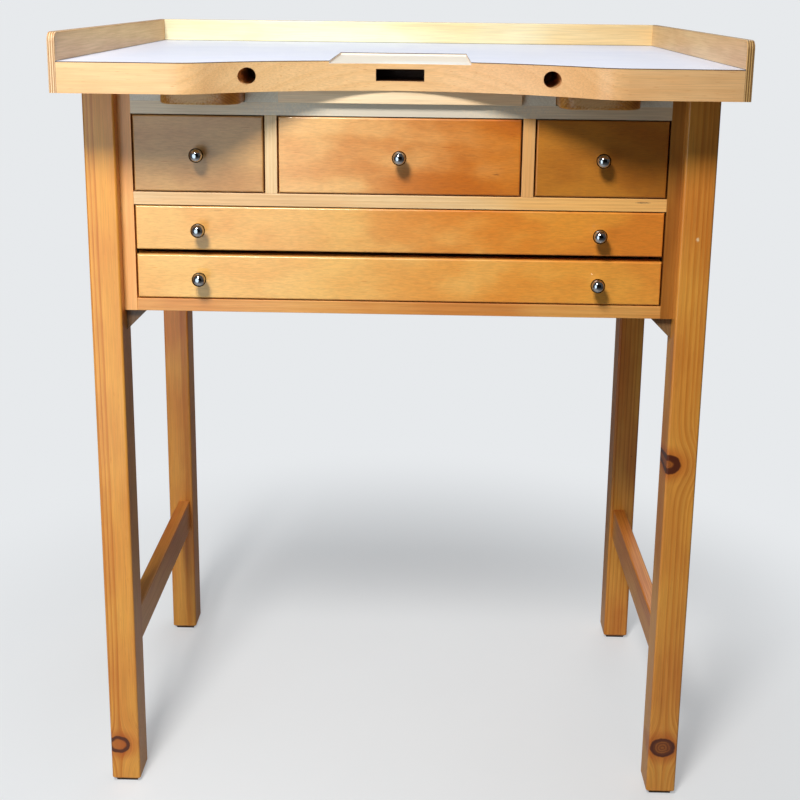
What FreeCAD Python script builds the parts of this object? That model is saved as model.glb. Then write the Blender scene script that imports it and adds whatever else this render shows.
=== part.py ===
import FreeCAD, Part
import math
import os
import re

import Sketcher
from FreeCAD import Rotation, Vector

# A jeweller's bench: a laminated worktop with a concave front edge, lips on three
# sides, a cabinet of five drawers hung between four legs, two arm rests and a
# catch tray that slide out under the worktop.
# Millimetres. X runs to the right, Y to the back and Z up. The origin lies on the
# floor, under the middle of the bench's box.

SIZES = {
    # the bench as a whole
    "overall_width": 800,
    "overall_depth": 600,
    "worktop_height": 990,
    # worktop
    "worktop_thickness": 36,
    "laminate_thickness": 1,
    "cutout_half_chord": 240,
    "cutout_depth": 91,
    "cutout_blend_radius": 60,
    "recess_width": 170,
    "recess_length": 185,
    "recess_depth": 3,
    "mandrel_hole_radius": 10,
    "mandrel_hole_spacing": 358,
    "mandrel_hole_reach": 150,
    "pin_slot_width": 58,
    "pin_slot_height": 14,
    "pin_slot_depth": 60,
    "front_holes_drop": 17,
    # lips
    "lip_thickness": 9,
    "lip_rise": 33,
    "lip_corner_radius": 10,
    "lip_edge_radius": 1.5,
    # legs and stretchers
    "leg_width": 39,
    "leg_depth": 45,
    "leg_side_inset": 4,
    "leg_front_setback": 84,
    "leg_rear_setback": 60,
    "leg_edge_radius": 3,
    "foot_chamfer": 4,
    "glide_thickness": 3,
    "glide_inset": 5,
    "stretcher_thickness": 19,
    "stretcher_height": 51,
    "stretcher_top": 235,
    "stretcher_setback": 5,
    "stretcher_edge_radius": 2,
    "tenon_thickness": 11,
    "tenon_height": 35,
    "tenon_length": 20,
    "tenon_play": 0.1,
    # cabinet
    "board_thickness": 16,
    "divider_thickness": 15,
    "back_thickness": 6,
    "cabinet_front_setback": 17,
    "cabinet_rear_setback": 8,
    "slide_slot_height": 16.5,
    "small_opening_height": 97.5,
    "wide_opening_height": 121,
    "centre_opening_width": 303,
    "corner_block_leg": 28,
    "corner_block_thickness": 20,
    # sliding pieces under the worktop
    "outer_guide_width": 44,
    "inner_guide_width": 41,
    "arm_opening_width": 98,
    "arm_rear_room": 74,
    "arm_front_reach": 51,
    "arm_corner_radius": 22,
    "arm_edge_radius": 3,
    "tray_rear_room": 94,
    "tray_front_thickness": 14,
    "tray_front_overhang": 8,
    "tray_metal": 1,
    "tray_wall_height": 12,
    "slide_play": 0.3,
    "slide_side_play": 0.6,
    # drawers
    "front_thickness": 18,
    "front_edge_radius": 2,
    "front_side_gap": 2,
    "front_level_gap": 1.5,
    "wide_drawer_gap": 7,
    "drawer_rear_room": 20,
    "box_side_play": 2.5,
    "box_side_thickness": 12,
    "box_top_room": 12,
    "box_back_thickness": 10,
    "panel_thickness": 4,
    "panel_raise": 8,
    "panel_groove_depth": 5,
    "panel_play": 0.1,
    "runner_thickness": 8,
    "runner_height": 12,
    "runner_front_room": 6,
    "runner_play": 1,
    # knobs and screws
    "knob_ball_radius": 9,
    "knob_neck_radius": 3.5,
    "knob_base_radius": 5,
    "knob_base_height": 1.5,
    "knob_projection": 25,
    "knob_bore_depth": 12,
    "knob_screw_radius": 2,
    "knob_screw_reach": 9,
    "knob_screw_head_radius": 4,
    "knob_screw_head_height": 2.4,
    "leg_bolt_radius": 4,
    "leg_bolt_reach": 17,
    "leg_bolt_head_radius": 8,
    "leg_bolt_head_height": 3,
    "leg_bolt_low_drop": 205,
    "leg_bolt_high_drop": 74,
    "leg_bolt_setback": 16,
    "worktop_screw_radius": 2.5,
    "worktop_screw_reach": 15,
    "worktop_screw_head_radius": 4.5,
    "worktop_screw_head_height": 2.5,
    "worktop_screw_setback": 60,
    "screw_play": 0.05,
    "screw_clearance": 0.3,
    "screw_end_room": 2,
}

# Places that the pieces share, each worked out from the sizes above.
PLACES = {
    "front": "-overall_depth / 2",
    "rear": "overall_depth / 2",
    "worktop_side": "overall_width / 2 - lip_thickness",
    "worktop_rear": "rear - lip_thickness",
    "under_worktop": "worktop_height - worktop_thickness",
    "under_laminate": "worktop_height - laminate_thickness",
    "lip_top": "worktop_height + lip_rise",
    "front_holes_level": "worktop_height - front_holes_drop",
    # the concave cut-out: one large arc, blended into the straight front edge
    "cutout_radius": "(cutout_half_chord ^ 2 + cutout_depth ^ 2) / (2 * cutout_depth)",
    "cutout_middle": "front + cutout_depth",
    "cutout_centre": "cutout_middle - cutout_radius",
    "blend_centre": "front + cutout_blend_radius",
    "blend_reach": "cutout_radius + cutout_blend_radius",
    "blend_start": "(blend_reach ^ 2 - (blend_centre - cutout_centre) ^ 2) ^ 0.5",
    "blend_share": "cutout_radius / blend_reach",
    "blend_end": "blend_start * blend_share",
    "blend_end_depth": "cutout_centre + (blend_centre - cutout_centre) * blend_share",
    "recess_end": "cutout_middle + recess_length",
    # legs
    "leg_outside": "worktop_side - leg_side_inset",
    "leg_inside": "leg_outside - leg_width",
    "leg_middle": "leg_outside - leg_width / 2",
    "front_leg_front": "front + leg_front_setback",
    "front_leg_middle": "front_leg_front + leg_depth / 2",
    "front_leg_rear": "front_leg_front + leg_depth",
    "rear_leg_rear": "rear - leg_rear_setback",
    "rear_leg_middle": "rear_leg_rear - leg_depth / 2",
    "rear_leg_front": "rear_leg_rear - leg_depth",
    "stretcher_middle": "leg_inside + stretcher_setback + stretcher_thickness / 2",
    "stretcher_level": "stretcher_top - stretcher_height / 2",
    # cabinet
    "cabinet_front": "front_leg_front + cabinet_front_setback",
    "cabinet_rear": "rear_leg_rear - cabinet_rear_setback",
    "cabinet_back": "cabinet_rear - back_thickness",
    "cabinet_inside": "leg_inside - board_thickness",
    "slot_low": "under_worktop - slide_slot_height",
    "top_low": "slot_low - board_thickness",
    "shelf_high": "top_low - small_opening_height",
    "shelf_low": "shelf_high - board_thickness",
    "bottom_high": "shelf_low - wide_opening_height",
    "bottom_low": "bottom_high - board_thickness",
    "centre_side": "centre_opening_width / 2",
    "divider_outside": "centre_side + divider_thickness",
    "small_middle": "(divider_outside + cabinet_inside) / 2",
    # slides under the worktop
    "arm_slot_outside": "cabinet_inside - outer_guide_width",
    "arm_slot_inside": "arm_slot_outside - arm_opening_width",
    "tray_side": "arm_slot_inside - inner_guide_width",
    "arm_middle": "(arm_slot_inside + arm_slot_outside) / 2",
    "arm_half_width": "arm_opening_width / 2 - slide_side_play",
    "arm_thickness": "slide_slot_height - 2 * slide_play",
    "slide_rest": "slot_low + slide_play",
    "slide_high": "under_worktop - slide_play",
    "tray_half_width": "tray_side - slide_side_play",
    "tray_front_face": "cabinet_front - tray_front_overhang",
    "tray_front_rear": "tray_front_face + tray_front_thickness",
    "tray_rear": "cabinet_back - tray_rear_room",
    "arm_length": "cabinet_back - arm_rear_room - cabinet_front",
    "arm_corner_side": "arm_half_width - arm_corner_radius",
    "arm_corner_depth": "arm_corner_radius - arm_front_reach",
    # drawers
    "front_back": "cabinet_front + front_thickness",
    "drawer_rear": "cabinet_back - drawer_rear_room",
    "wide_front_height": "(wide_opening_height - 2 * front_level_gap - wide_drawer_gap) / 2",
    "lower_front_low": "bottom_high + front_level_gap",
    "lower_front_high": "lower_front_low + wide_front_height",
    "upper_front_low": "lower_front_high + wide_drawer_gap",
    "upper_front_high": "upper_front_low + wide_front_height",
    "lower_runner_level": "(lower_front_low + lower_front_high) / 2",
    "upper_runner_level": "(upper_front_low + upper_front_high) / 2",
    "runner_inside": "cabinet_inside - runner_thickness",
    "runner_front": "front_back + runner_front_room",
    # screws
    "leg_bolt_low_level": "under_worktop - leg_bolt_low_drop",
    "leg_bolt_high_level": "under_worktop - leg_bolt_high_drop",
    "leg_bolt_length": "board_thickness - leg_bolt_head_height + leg_bolt_reach",
    "worktop_screw_seat": "top_low + worktop_screw_head_height",
    "worktop_screw_length": "under_worktop + worktop_screw_reach - worktop_screw_seat",
    "front_bolt_place": "cabinet_front + leg_bolt_setback",
    "rear_bolt_place": "cabinet_rear - leg_bolt_setback",
    "front_screw_place": "cabinet_front + worktop_screw_setback",
    "rear_screw_place": "cabinet_back - worktop_screw_setback",
    "inner_guide_middle": "tray_side + inner_guide_width / 2",
    "outer_guide_middle": "(arm_slot_outside + cabinet_inside) / 2",
}

LEFT, RIGHT = -1, 1
SIDES = {"left": LEFT, "right": RIGHT}
WHOLE_TURN = 360
TOOL_OVERRUN = 1
CLOSE = 1e-6
# A bounding box is a hair larger than its curve.
BOX_SLACK = 1e-3

# The turn that lays a piece's own Z axis along a direction of the bench.
TURNS = {
    "up": Rotation(),
    "to_front": Rotation(Vector(1, 0, 0), 90),
    "to_left": Rotation(Vector(0, 1, 0), -90),
    "to_right": Rotation(Vector(0, 1, 0), 90),
}

document = FreeCAD.newDocument("JewellersBench")
sheet = document.addObject("Spreadsheet::Sheet", "Sizes")
for row, (size_name, size_value) in enumerate(SIZES.items(), start=1):
    sheet.set(f"A{row}", size_name)
    sheet.set(f"B{row}", str(size_value))
    sheet.setAlias(f"B{row}", size_name)
document.recompute()
nodes = []


# ---------------------------------------------------------------- expressions
def expression(text):
    """Spells out the named places in a text, down to the cells of the sheet."""

    def spelled(match):
        word = match.group()
        if word in PLACES:
            return f"({expression(PLACES[word])})"
        return f"Sizes.{word}"

    return re.sub(r"[a-z]\w+", spelled, text)


def value(text):
    """The number that a text comes to, with the sizes as they are now."""
    return float(sheet.evalExpression(expression(text)))


def bind(thing, field, text):
    thing.setExpression(field, expression(text))


def place(thing, x, y, z):
    for axis, text in zip("xyz", (x, y, z)):
        bind(thing, f"Placement.Base.{axis}", text)


def mirrored(side, low, high):
    """A stretch along X given for the right side, or its mirror image on the left."""
    return (low, high) if side == RIGHT else (f"-({high})", f"-({low})")


# --------------------------------------------------------------------- pieces
def node(thing, name):
    """Marks a finished sub-part, which keeps this name as its label."""
    thing.Label = name
    nodes.append(thing)
    return thing


def block(name, x, y, z):
    """A square-edged board that fills a stretch of each axis."""
    box = document.addObject("Part::Box", name)
    for field, (low, high) in zip(("Length", "Width", "Height"), (x, y, z)):
        bind(box, field, f"({high}) - ({low})")
    place(box, x[0], y[0], z[0])
    return box


def rod(name, start, way, radius, length):
    """A round hole's shape, from its start along one of the named directions."""
    cylinder = document.addObject("Part::Cylinder", name)
    bind(cylinder, "Radius", radius)
    bind(cylinder, "Height", length)
    cylinder.Placement.Rotation = TURNS[way]
    place(cylinder, *start)
    return cylinder


def group(name, members):
    """Several separate solids that share one node."""
    compound = document.addObject("Part::Compound", name)
    compound.Links = members
    return compound


def cut(name, blank, tools):
    """A piece with holes, grooves or rebates taken out of its blank."""
    result = document.addObject("Part::Cut", name)
    result.Base = blank
    result.Tool = tools[0] if len(tools) == 1 else group(f"{name}_tools", tools)
    return result


def new_body(name):
    return document.addObject("PartDesign::Body", name)


def sketch_on(body, plane, offset="0"):
    """A sketch on one of the body's own origin planes, moved along its normal."""
    sketch = body.newObject("Sketcher::SketchObject", f"{body.Name}_sketch")
    support = next(part for part in body.Origin.OriginFeatures if part.Role == plane)
    sketch.AttachmentSupport = [(support, "")]
    sketch.MapMode = "FlatFace"
    bind(sketch, "AttachmentOffset.Base.z", offset)
    return sketch


def dimension(sketch, kind, geometry, text):
    number = sketch.addConstraint(Sketcher.Constraint(kind, *geometry, value(text)))
    bind(sketch, f"Constraints[{number}]", text)


def arc_edge(sketch, start, end, centre_x, centre_y, turn):
    """An arc between two corners, which turns left or right on its way."""
    centre = Vector(value(centre_x), value(centre_y), 0)
    first, last = (start, end) if turn == "left" else (end, start)
    angles = [math.atan2(spot.y - centre.y, spot.x - centre.x) for spot in (first, last)]
    circle = Part.Circle(centre, Vector(0, 0, 1), (start - centre).Length)
    edge = sketch.addGeometry(Part.ArcOfCircle(circle, *angles))
    dimension(sketch, "DistanceX", (-1, 1, edge, 3), centre_x)
    dimension(sketch, "DistanceY", (-1, 1, edge, 3), centre_y)
    return (edge, 1, 2) if turn == "left" else (edge, 2, 1)


def outline(sketch, corners, arcs=None):
    """A closed outline through corners (x, y) or (x, y, held).

    held says which of x and y carry a dimension: the corner that ends an arc has
    only one, because the arc gives the other. arcs holds, by the number of the
    corner where an arc starts, its centre and the way it turns.
    """
    arcs = arcs or {}
    spots = [Vector(value(corner[0]), value(corner[1]), 0) for corner in corners]
    edges = []
    for number, spot in enumerate(spots):
        following = spots[(number + 1) % len(spots)]
        if number in arcs:
            edges.append(arc_edge(sketch, spot, following, *arcs[number]))
        else:
            edges.append((sketch.addGeometry(Part.LineSegment(spot, following)), 1, 2))
    for number, (edge, start, _) in enumerate(edges):
        previous, _, end = edges[number - 1]
        sketch.addConstraint(Sketcher.Constraint("Coincident", previous, end, edge, start))
        x, y, held = (*corners[number], "xy")[:3]
        if "x" in held:
            dimension(sketch, "DistanceX", (-1, 1, edge, start), x)
        if "y" in held:
            dimension(sketch, "DistanceY", (-1, 1, edge, start), y)


def rectangle(sketch, x, y):
    outline(sketch, [(x[0], y[0]), (x[1], y[0]), (x[1], y[1]), (x[0], y[1])])


def circle(sketch, x, y, radius):
    shape = Part.Circle(Vector(value(x), value(y), 0), Vector(0, 0, 1), value(radius))
    number = sketch.addGeometry(shape)
    dimension(sketch, "DistanceX", (-1, 1, number, 3), x)
    dimension(sketch, "DistanceY", (-1, 1, number, 3), y)
    dimension(sketch, "Radius", (number,), radius)


def pad(body, sketch, length, backwards=False):
    feature = body.newObject("PartDesign::Pad", f"{body.Name}_pad")
    feature.Profile = sketch
    feature.Reversed = backwards
    bind(feature, "Length", length)
    document.recompute()
    return feature


def pocket(body, sketch, length, backwards=False):
    """Takes a sketch's shape out of the body, and makes sure that it did."""
    before = body.Shape.Volume
    feature = body.newObject("PartDesign::Pocket", f"{body.Name}_pocket")
    feature.Profile = sketch
    feature.Reversed = backwards
    bind(feature, "Length", length)
    document.recompute()
    if body.Shape.Volume > before - CLOSE:
        raise RuntimeError(f"a pocket cuts nothing from {body.Name}")
    return feature


def soften(body, kind, field, size, wanted):
    """Rounds or bevels the edges of a body that pass a test."""
    base = body.Tip
    feature = body.newObject(f"PartDesign::{kind}", f"{body.Name}_{kind.lower()}")
    edges = [f"Edge{number}" for number, edge in enumerate(base.Shape.Edges, 1) if wanted(edge)]
    feature.Base = (base, edges)
    bind(feature, field, size)
    document.recompute()


def fillet(body, radius, wanted):
    soften(body, "Fillet", "Radius", radius, wanted)


def chamfer(body, size, wanted):
    soften(body, "Chamfer", "Size", size, wanted)


def is_along(edge, axis):
    """Whether an edge is straight and runs along X, Y or Z."""
    ends = [vertex.Point for vertex in edge.Vertexes]
    if len(ends) != 2 or edge.Curve.TypeId != "Part::GeomLine":
        return False
    direction = (ends[1] - ends[0]).normalize()
    return abs(getattr(direction, axis)) > 1 - CLOSE


def is_at(edge, axis, text):
    """Whether an edge lies all over at one place along X, Y or Z."""
    low = getattr(edge.BoundBox, f"{axis.upper()}Min")
    high = getattr(edge.BoundBox, f"{axis.upper()}Max")
    return max(abs(low - value(text)), abs(high - value(text))) < BOX_SLACK


def turned(name, corners, arcs, way, at):
    """A turned piece: a half section (radius, height), spun about its own Z axis."""
    body = new_body(name)
    sketch = sketch_on(body, "XZ_Plane")
    outline(sketch, corners, arcs)
    feature = body.newObject("PartDesign::Revolution", f"{name}_turning")
    feature.Profile = sketch
    feature.ReferenceAxis = (sketch, ["V_Axis"])
    feature.Angle = WHOLE_TURN
    body.Placement.Rotation = TURNS[way]
    place(body, *at)
    document.recompute()
    return body


def screw(name, way, at, kind):
    """A screw or bolt: `at` is the middle of its head's underside."""
    corners = [
        ("0", f"-{kind}_head_height"),
        (f"{kind}_head_radius", f"-{kind}_head_height"),
        (f"{kind}_head_radius", "0"),
        (f"{kind}_radius", "0"),
        (f"{kind}_radius", f"{kind}_length"),
        ("0", f"{kind}_length"),
    ]
    return turned(name, corners, None, way, at)


# -------------------------------------------------------------------- worktop
def worktop_outline(body):
    """The worktop seen from above, with the concave cut-out for the jeweller."""
    sketch = sketch_on(body, "XY_Plane")
    corners = [
        ("-(worktop_side)", "worktop_rear"),
        ("-(worktop_side)", "front"),
        ("-(blend_start)", "front"),
        ("-(blend_end)", "blend_end_depth", "x"),
        ("blend_end", "blend_end_depth", "x"),
        ("blend_start", "front", "x"),
        ("worktop_side", "front"),
        ("worktop_side", "worktop_rear"),
    ]
    arcs = {
        2: ("-(blend_start)", "blend_centre", "left"),
        3: ("0", "cutout_centre", "right"),
        4: ("blend_start", "blend_centre", "left"),
    }
    outline(sketch, corners, arcs)
    return sketch


def recess_outline(body, level):
    sketch = sketch_on(body, "XY_Plane", level)
    rectangle(sketch, ("-recess_width / 2", "recess_width / 2"), ("front", "recess_end"))
    return sketch


def worktop_screw_spots():
    """Where screws hold the worktop: two in each of the four guide strips."""
    return [
        (f"{side} * ({middle})", depth)
        for side in (LEFT, RIGHT)
        for middle in ("inner_guide_middle", "outer_guide_middle")
        for depth in ("front_screw_place", "rear_screw_place")
    ]


def make_worktop_board():
    body = new_body("worktop_board")
    place(body, "0", "0", "under_worktop")
    board_height = "under_laminate - under_worktop"
    pad(body, worktop_outline(body), board_height)
    recess_cut = "recess_depth - laminate_thickness"
    pocket(body, recess_outline(body, board_height), recess_cut)

    bores = sketch_on(body, "XZ_Plane", "-(front)")
    level = "front_holes_level - under_worktop"
    for side in (LEFT, RIGHT):
        circle(bores, f"{side} * mandrel_hole_spacing / 2", level, "mandrel_hole_radius")
    pocket(body, bores, "mandrel_hole_reach")

    slot = sketch_on(body, "XZ_Plane", "-(front)")
    half_height = "pin_slot_height / 2"
    rectangle(
        slot,
        ("-pin_slot_width / 2", "pin_slot_width / 2"),
        (f"{level} - {half_height}", f"{level} + {half_height}"),
    )
    pocket(body, slot, "cutout_depth + pin_slot_depth")

    pilots = sketch_on(body, "XY_Plane")
    for x, y in worktop_screw_spots():
        circle(pilots, x, y, "worktop_screw_radius + screw_play")
    pocket(body, pilots, "worktop_screw_reach + screw_end_room", backwards=True)
    return node(body, "worktop_board")


def make_worktop_laminate():
    body = new_body("worktop_laminate")
    place(body, "0", "0", "under_laminate")
    pad(body, worktop_outline(body), "laminate_thickness")
    pocket(body, recess_outline(body, "laminate_thickness"), "laminate_thickness")
    return node(body, "worktop_laminate")


def make_side_lip(side_name):
    """A plywood strip beside the worktop, its upper front corner rounded."""
    body = new_body(f"{side_name}_lip")
    sketch = sketch_on(body, "YZ_Plane")
    corners = [
        ("rear", "under_worktop"),
        ("rear", "lip_top"),
        ("front + lip_corner_radius", "lip_top"),
        ("front", "lip_top - lip_corner_radius", "y"),
        ("front", "under_worktop"),
    ]
    corner_centre = ("front + lip_corner_radius", "lip_top - lip_corner_radius", "left")
    outline(sketch, corners, {2: corner_centre})
    pad(body, sketch, "lip_thickness")
    fillet(body, "lip_edge_radius", lambda edge: is_at(edge, "z", "lip_top") and is_along(edge, "y"))
    inner, _ = mirrored(SIDES[side_name], "worktop_side", "overall_width / 2")
    place(body, inner, "0", "0")
    return node(body, f"{side_name}_lip")


def make_back_lip():
    body = new_body("back_lip")
    sketch = sketch_on(body, "YZ_Plane")
    rectangle(sketch, ("worktop_rear", "rear"), ("under_worktop", "lip_top"))
    pad(body, sketch, "2 * (worktop_side)")
    fillet(body, "lip_edge_radius", lambda edge: is_at(edge, "z", "lip_top") and is_along(edge, "x"))
    place(body, "-(worktop_side)", "0", "0")
    return node(body, "back_lip")


# ----------------------------------------------------------- legs and rails
def make_leg(end, side_name):
    """A pine leg with a mortise for its stretcher and holes for two bolts."""
    side = SIDES[side_name]
    body = new_body(f"{end}_{side_name}_leg")
    place(body, f"{side} * (leg_middle)", f"{end}_leg_middle", "glide_thickness")
    section = sketch_on(body, "XY_Plane")
    rectangle(section, ("-leg_width / 2", "leg_width / 2"), ("-leg_depth / 2", "leg_depth / 2"))
    pad(body, section, "under_worktop - glide_thickness")
    chamfer(body, "foot_chamfer", lambda edge: is_at(edge, "z", "0"))
    fillet(body, "leg_edge_radius", lambda edge: edge.BoundBox.ZLength > BOX_SLACK)

    facing = 1 if end == "rear" else -1
    mortise = sketch_on(body, "XZ_Plane", f"{facing} * leg_depth / 2")
    middle = f"{side} * (stretcher_middle - leg_middle)"
    level = "stretcher_level - glide_thickness"
    rectangle(
        mortise,
        (
            f"{middle} - tenon_thickness / 2 - tenon_play",
            f"{middle} + tenon_thickness / 2 + tenon_play",
        ),
        (
            f"{level} - tenon_height / 2 - tenon_play",
            f"{level} + tenon_height / 2 + tenon_play",
        ),
    )
    pocket(body, mortise, "tenon_length + screw_end_room", backwards=(end == "front"))

    holes = sketch_on(body, "YZ_Plane", f"-({side}) * leg_width / 2")
    for bolt_level in ("leg_bolt_low_level", "leg_bolt_high_level"):
        circle(
            holes,
            f"{end}_bolt_place - {end}_leg_middle",
            f"{bolt_level} - glide_thickness",
            "leg_bolt_radius + screw_play",
        )
    pocket(body, holes, "leg_bolt_reach + screw_end_room", backwards=(side == RIGHT))
    return node(body, f"{end}_{side_name}_leg")


def make_stretcher(side_name):
    """A low rail between two legs, with a tenon at each end."""
    body = new_body(f"{side_name}_stretcher")
    place(body, f"{SIDES[side_name]} * (stretcher_middle)", "front_leg_rear", "stretcher_level")
    span = "rear_leg_front - front_leg_rear"
    section = sketch_on(body, "XZ_Plane")
    rectangle(
        section,
        ("-stretcher_thickness / 2", "stretcher_thickness / 2"),
        ("-stretcher_height / 2", "stretcher_height / 2"),
    )
    pad(body, section, span, backwards=True)
    fillet(body, "stretcher_edge_radius", lambda edge: is_along(edge, "y"))
    tenon = sketch_on(body, "XZ_Plane", "tenon_length")
    rectangle(
        tenon,
        ("-tenon_thickness / 2", "tenon_thickness / 2"),
        ("-tenon_height / 2", "tenon_height / 2"),
    )
    pad(body, tenon, f"{span} + 2 * tenon_length", backwards=True)
    return node(body, f"{side_name}_stretcher")


def make_foot_glides():
    """A thin pad under each foot."""
    glides = []
    for side in (LEFT, RIGHT):
        for end in ("front", "rear"):
            x = mirrored(side, "leg_inside + glide_inset", "leg_outside - glide_inset")
            y = (
                f"{end}_leg_middle - leg_depth / 2 + glide_inset",
                f"{end}_leg_middle + leg_depth / 2 - glide_inset",
            )
            glides.append(block(f"{end}_glide", x, y, ("0", "glide_thickness")))
    return node(group("foot_glides", glides), "foot_glides")


def make_corner_blocks():
    """Triangular blocks glued into the corners between legs and cabinet bottom."""
    depths = {
        "front": "front_leg_front + leg_depth - corner_block_thickness",
        "rear": "rear_leg_front",
    }
    blocks = []
    for side in (LEFT, RIGHT):
        for end, depth in depths.items():
            body = new_body(f"{end}_corner_block")
            place(body, "0", depth, "0")
            sketch = sketch_on(body, "XZ_Plane")
            corners = [
                (f"{side} * (leg_inside)", "bottom_low"),
                (f"{side} * (leg_inside - corner_block_leg)", "bottom_low"),
                (f"{side} * (leg_inside)", "bottom_low - corner_block_leg"),
            ]
            outline(sketch, corners)
            pad(body, sketch, "corner_block_thickness", backwards=True)
            blocks.append(body)
    return node(group("corner_blocks", blocks), "corner_blocks")


# -------------------------------------------------------------------- cabinet
def make_cabinet_side(side_name):
    """A side of the cabinet, bolted to two legs through four counterbored holes."""
    side = SIDES[side_name]
    x = mirrored(side, "cabinet_inside", "leg_inside")
    y = ("cabinet_front", "cabinet_rear")
    blank = block(f"{side_name}_side_blank", x, y, ("bottom_low", "under_worktop"))
    way = "to_right" if side == RIGHT else "to_left"
    inner_face = f"{side} * (cabinet_inside)"
    tools = []
    for depth in ("front_bolt_place", "rear_bolt_place"):
        for level in ("leg_bolt_low_level", "leg_bolt_high_level"):
            start = (inner_face, depth, level)
            wide = "leg_bolt_head_radius + screw_clearance"
            narrow = "leg_bolt_radius + screw_clearance"
            tools.append(rod("bolt_hole", start, way, narrow, "board_thickness"))
            tools.append(rod("bolt_seat", start, way, wide, "leg_bolt_head_height"))
    return node(cut(f"cabinet_{side_name}_side", blank, tools), f"cabinet_{side_name}_side")


def make_leg_bolts():
    """Bolts from inside the cabinet, through its sides and into the legs."""
    bolts = []
    for side, way in ((LEFT, "to_left"), (RIGHT, "to_right")):
        seat = f"{side} * (cabinet_inside + leg_bolt_head_height)"
        for depth in ("front_bolt_place", "rear_bolt_place"):
            for level in ("leg_bolt_low_level", "leg_bolt_high_level"):
                bolts.append(screw("leg_bolt", way, (seat, depth, level), "leg_bolt"))
    return node(group("leg_bolts", bolts), "leg_bolts")


def make_cabinet_boards():
    """The level boards, the dividers and the back, all between the two sides."""
    x = ("-(cabinet_inside)", "cabinet_inside")
    y = ("cabinet_front", "cabinet_back")
    top_blank = block("cabinet_top_blank", x, y, ("top_low", "slot_low"))
    tools = []
    for place_x, place_y in worktop_screw_spots():
        start = (place_x, place_y, "top_low")
        wide = "worktop_screw_head_radius + screw_clearance"
        narrow = "worktop_screw_radius + screw_clearance"
        tools.append(rod("screw_hole", start, "up", narrow, "board_thickness"))
        tools.append(rod("screw_seat", start, "up", wide, "worktop_screw_head_height"))
    node(cut("cabinet_top", top_blank, tools), "cabinet_top")
    node(block("cabinet_shelf", x, y, ("shelf_low", "shelf_high")), "cabinet_shelf")
    node(block("cabinet_bottom", x, y, ("bottom_low", "bottom_high")), "cabinet_bottom")
    back_y = ("cabinet_back", "cabinet_rear")
    node(block("cabinet_back", x, back_y, ("bottom_low", "under_worktop")), "cabinet_back")
    for side_name, side in SIDES.items():
        divider_x = mirrored(side, "centre_side", "divider_outside")
        divider = block(f"{side_name}_divider", divider_x, y, ("shelf_high", "top_low"))
        node(divider, f"{side_name}_divider")


def make_wide_drawer_runners():
    """Strips on the cabinet's sides, which carry the two wide drawers."""
    runners = []
    for side in (LEFT, RIGHT):
        x = mirrored(side, "runner_inside", "cabinet_inside")
        for level in ("lower_runner_level", "upper_runner_level"):
            z = (f"{level} - runner_height / 2", f"{level} + runner_height / 2")
            runners.append(block("runner", x, ("runner_front", "cabinet_back"), z))
    return node(group("wide_drawer_runners", runners), "wide_drawer_runners")


def make_worktop_screws():
    """Screws up through the cabinet's top and the guides into the worktop."""
    screws = [
        screw("worktop_screw", "up", (x, y, "worktop_screw_seat"), "worktop_screw")
        for x, y in worktop_screw_spots()
    ]
    return node(group("worktop_screws", screws), "worktop_screws")


# -------------------------------------------- slides between cabinet and worktop
def make_arm_guides(side_name):
    """The strips on both sides of an arm rest, screwed through to the worktop."""
    side = SIDES[side_name]
    stretches = {
        "inner": ("tray_side", "arm_slot_inside"),
        "outer": ("arm_slot_outside", "cabinet_inside"),
    }
    strips = []
    for strip, (low, high) in stretches.items():
        x = mirrored(side, low, high)
        z = ("slot_low", "under_worktop")
        blank = block(f"{strip}_guide_blank", x, ("cabinet_front", "cabinet_back"), z)
        middle = f"{side} * ({strip}_guide_middle)"
        radius = "worktop_screw_radius + screw_clearance"
        holes = [
            rod("guide_hole", (middle, depth, "slot_low"), "up", radius, "slide_slot_height")
            for depth in ("front_screw_place", "rear_screw_place")
        ]
        strips.append(cut(f"{side_name}_{strip}_guide", blank, holes))
    return node(group(f"{side_name}_arm_guides", strips), f"{side_name}_arm_guides")


def make_arm_rest(side_name):
    """A board with rounded front corners, which slides out beside the jeweller."""
    body = new_body(f"{side_name}_arm_rest")
    place(body, f"{SIDES[side_name]} * (arm_middle)", "cabinet_front", "slide_rest")
    sketch = sketch_on(body, "XY_Plane")
    corners = [
        ("-(arm_half_width)", "arm_length"),
        ("-(arm_half_width)", "arm_corner_depth"),
        ("-(arm_corner_side)", "-arm_front_reach", "x"),
        ("arm_corner_side", "-arm_front_reach"),
        ("arm_half_width", "arm_corner_depth", "y"),
        ("arm_half_width", "arm_length"),
    ]
    arcs = {
        1: ("-(arm_corner_side)", "arm_corner_depth", "left"),
        3: ("arm_corner_side", "arm_corner_depth", "left"),
    }
    outline(sketch, corners, arcs)
    pad(body, sketch, "arm_thickness")
    fillet(body, "arm_edge_radius", lambda edge: not is_along(edge, "z") and edge.BoundBox.YMin < CLOSE)
    return node(body, f"{side_name}_arm_rest")


def make_tray():
    """A shallow metal tray behind a wooden strip, under the cut-out."""
    x = ("-(tray_half_width)", "tray_half_width")
    front_y = ("tray_front_face", "tray_front_rear")
    node(block("tray_front", x, front_y, ("slide_rest", "slide_high")), "tray_front")
    pan_y = ("tray_front_rear", "tray_rear")
    pan = block("tray_pan_blank", x, pan_y, ("slide_rest", "slide_rest + tray_wall_height"))
    hollow = block(
        "tray_pan_hollow",
        ("-(tray_half_width) + tray_metal", "tray_half_width - tray_metal"),
        ("tray_front_rear + tray_metal", "tray_rear - tray_metal"),
        ("slide_rest + tray_metal", "under_worktop"),
    )
    node(cut("tray_pan", pan, [hollow]), "tray_pan")


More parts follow.
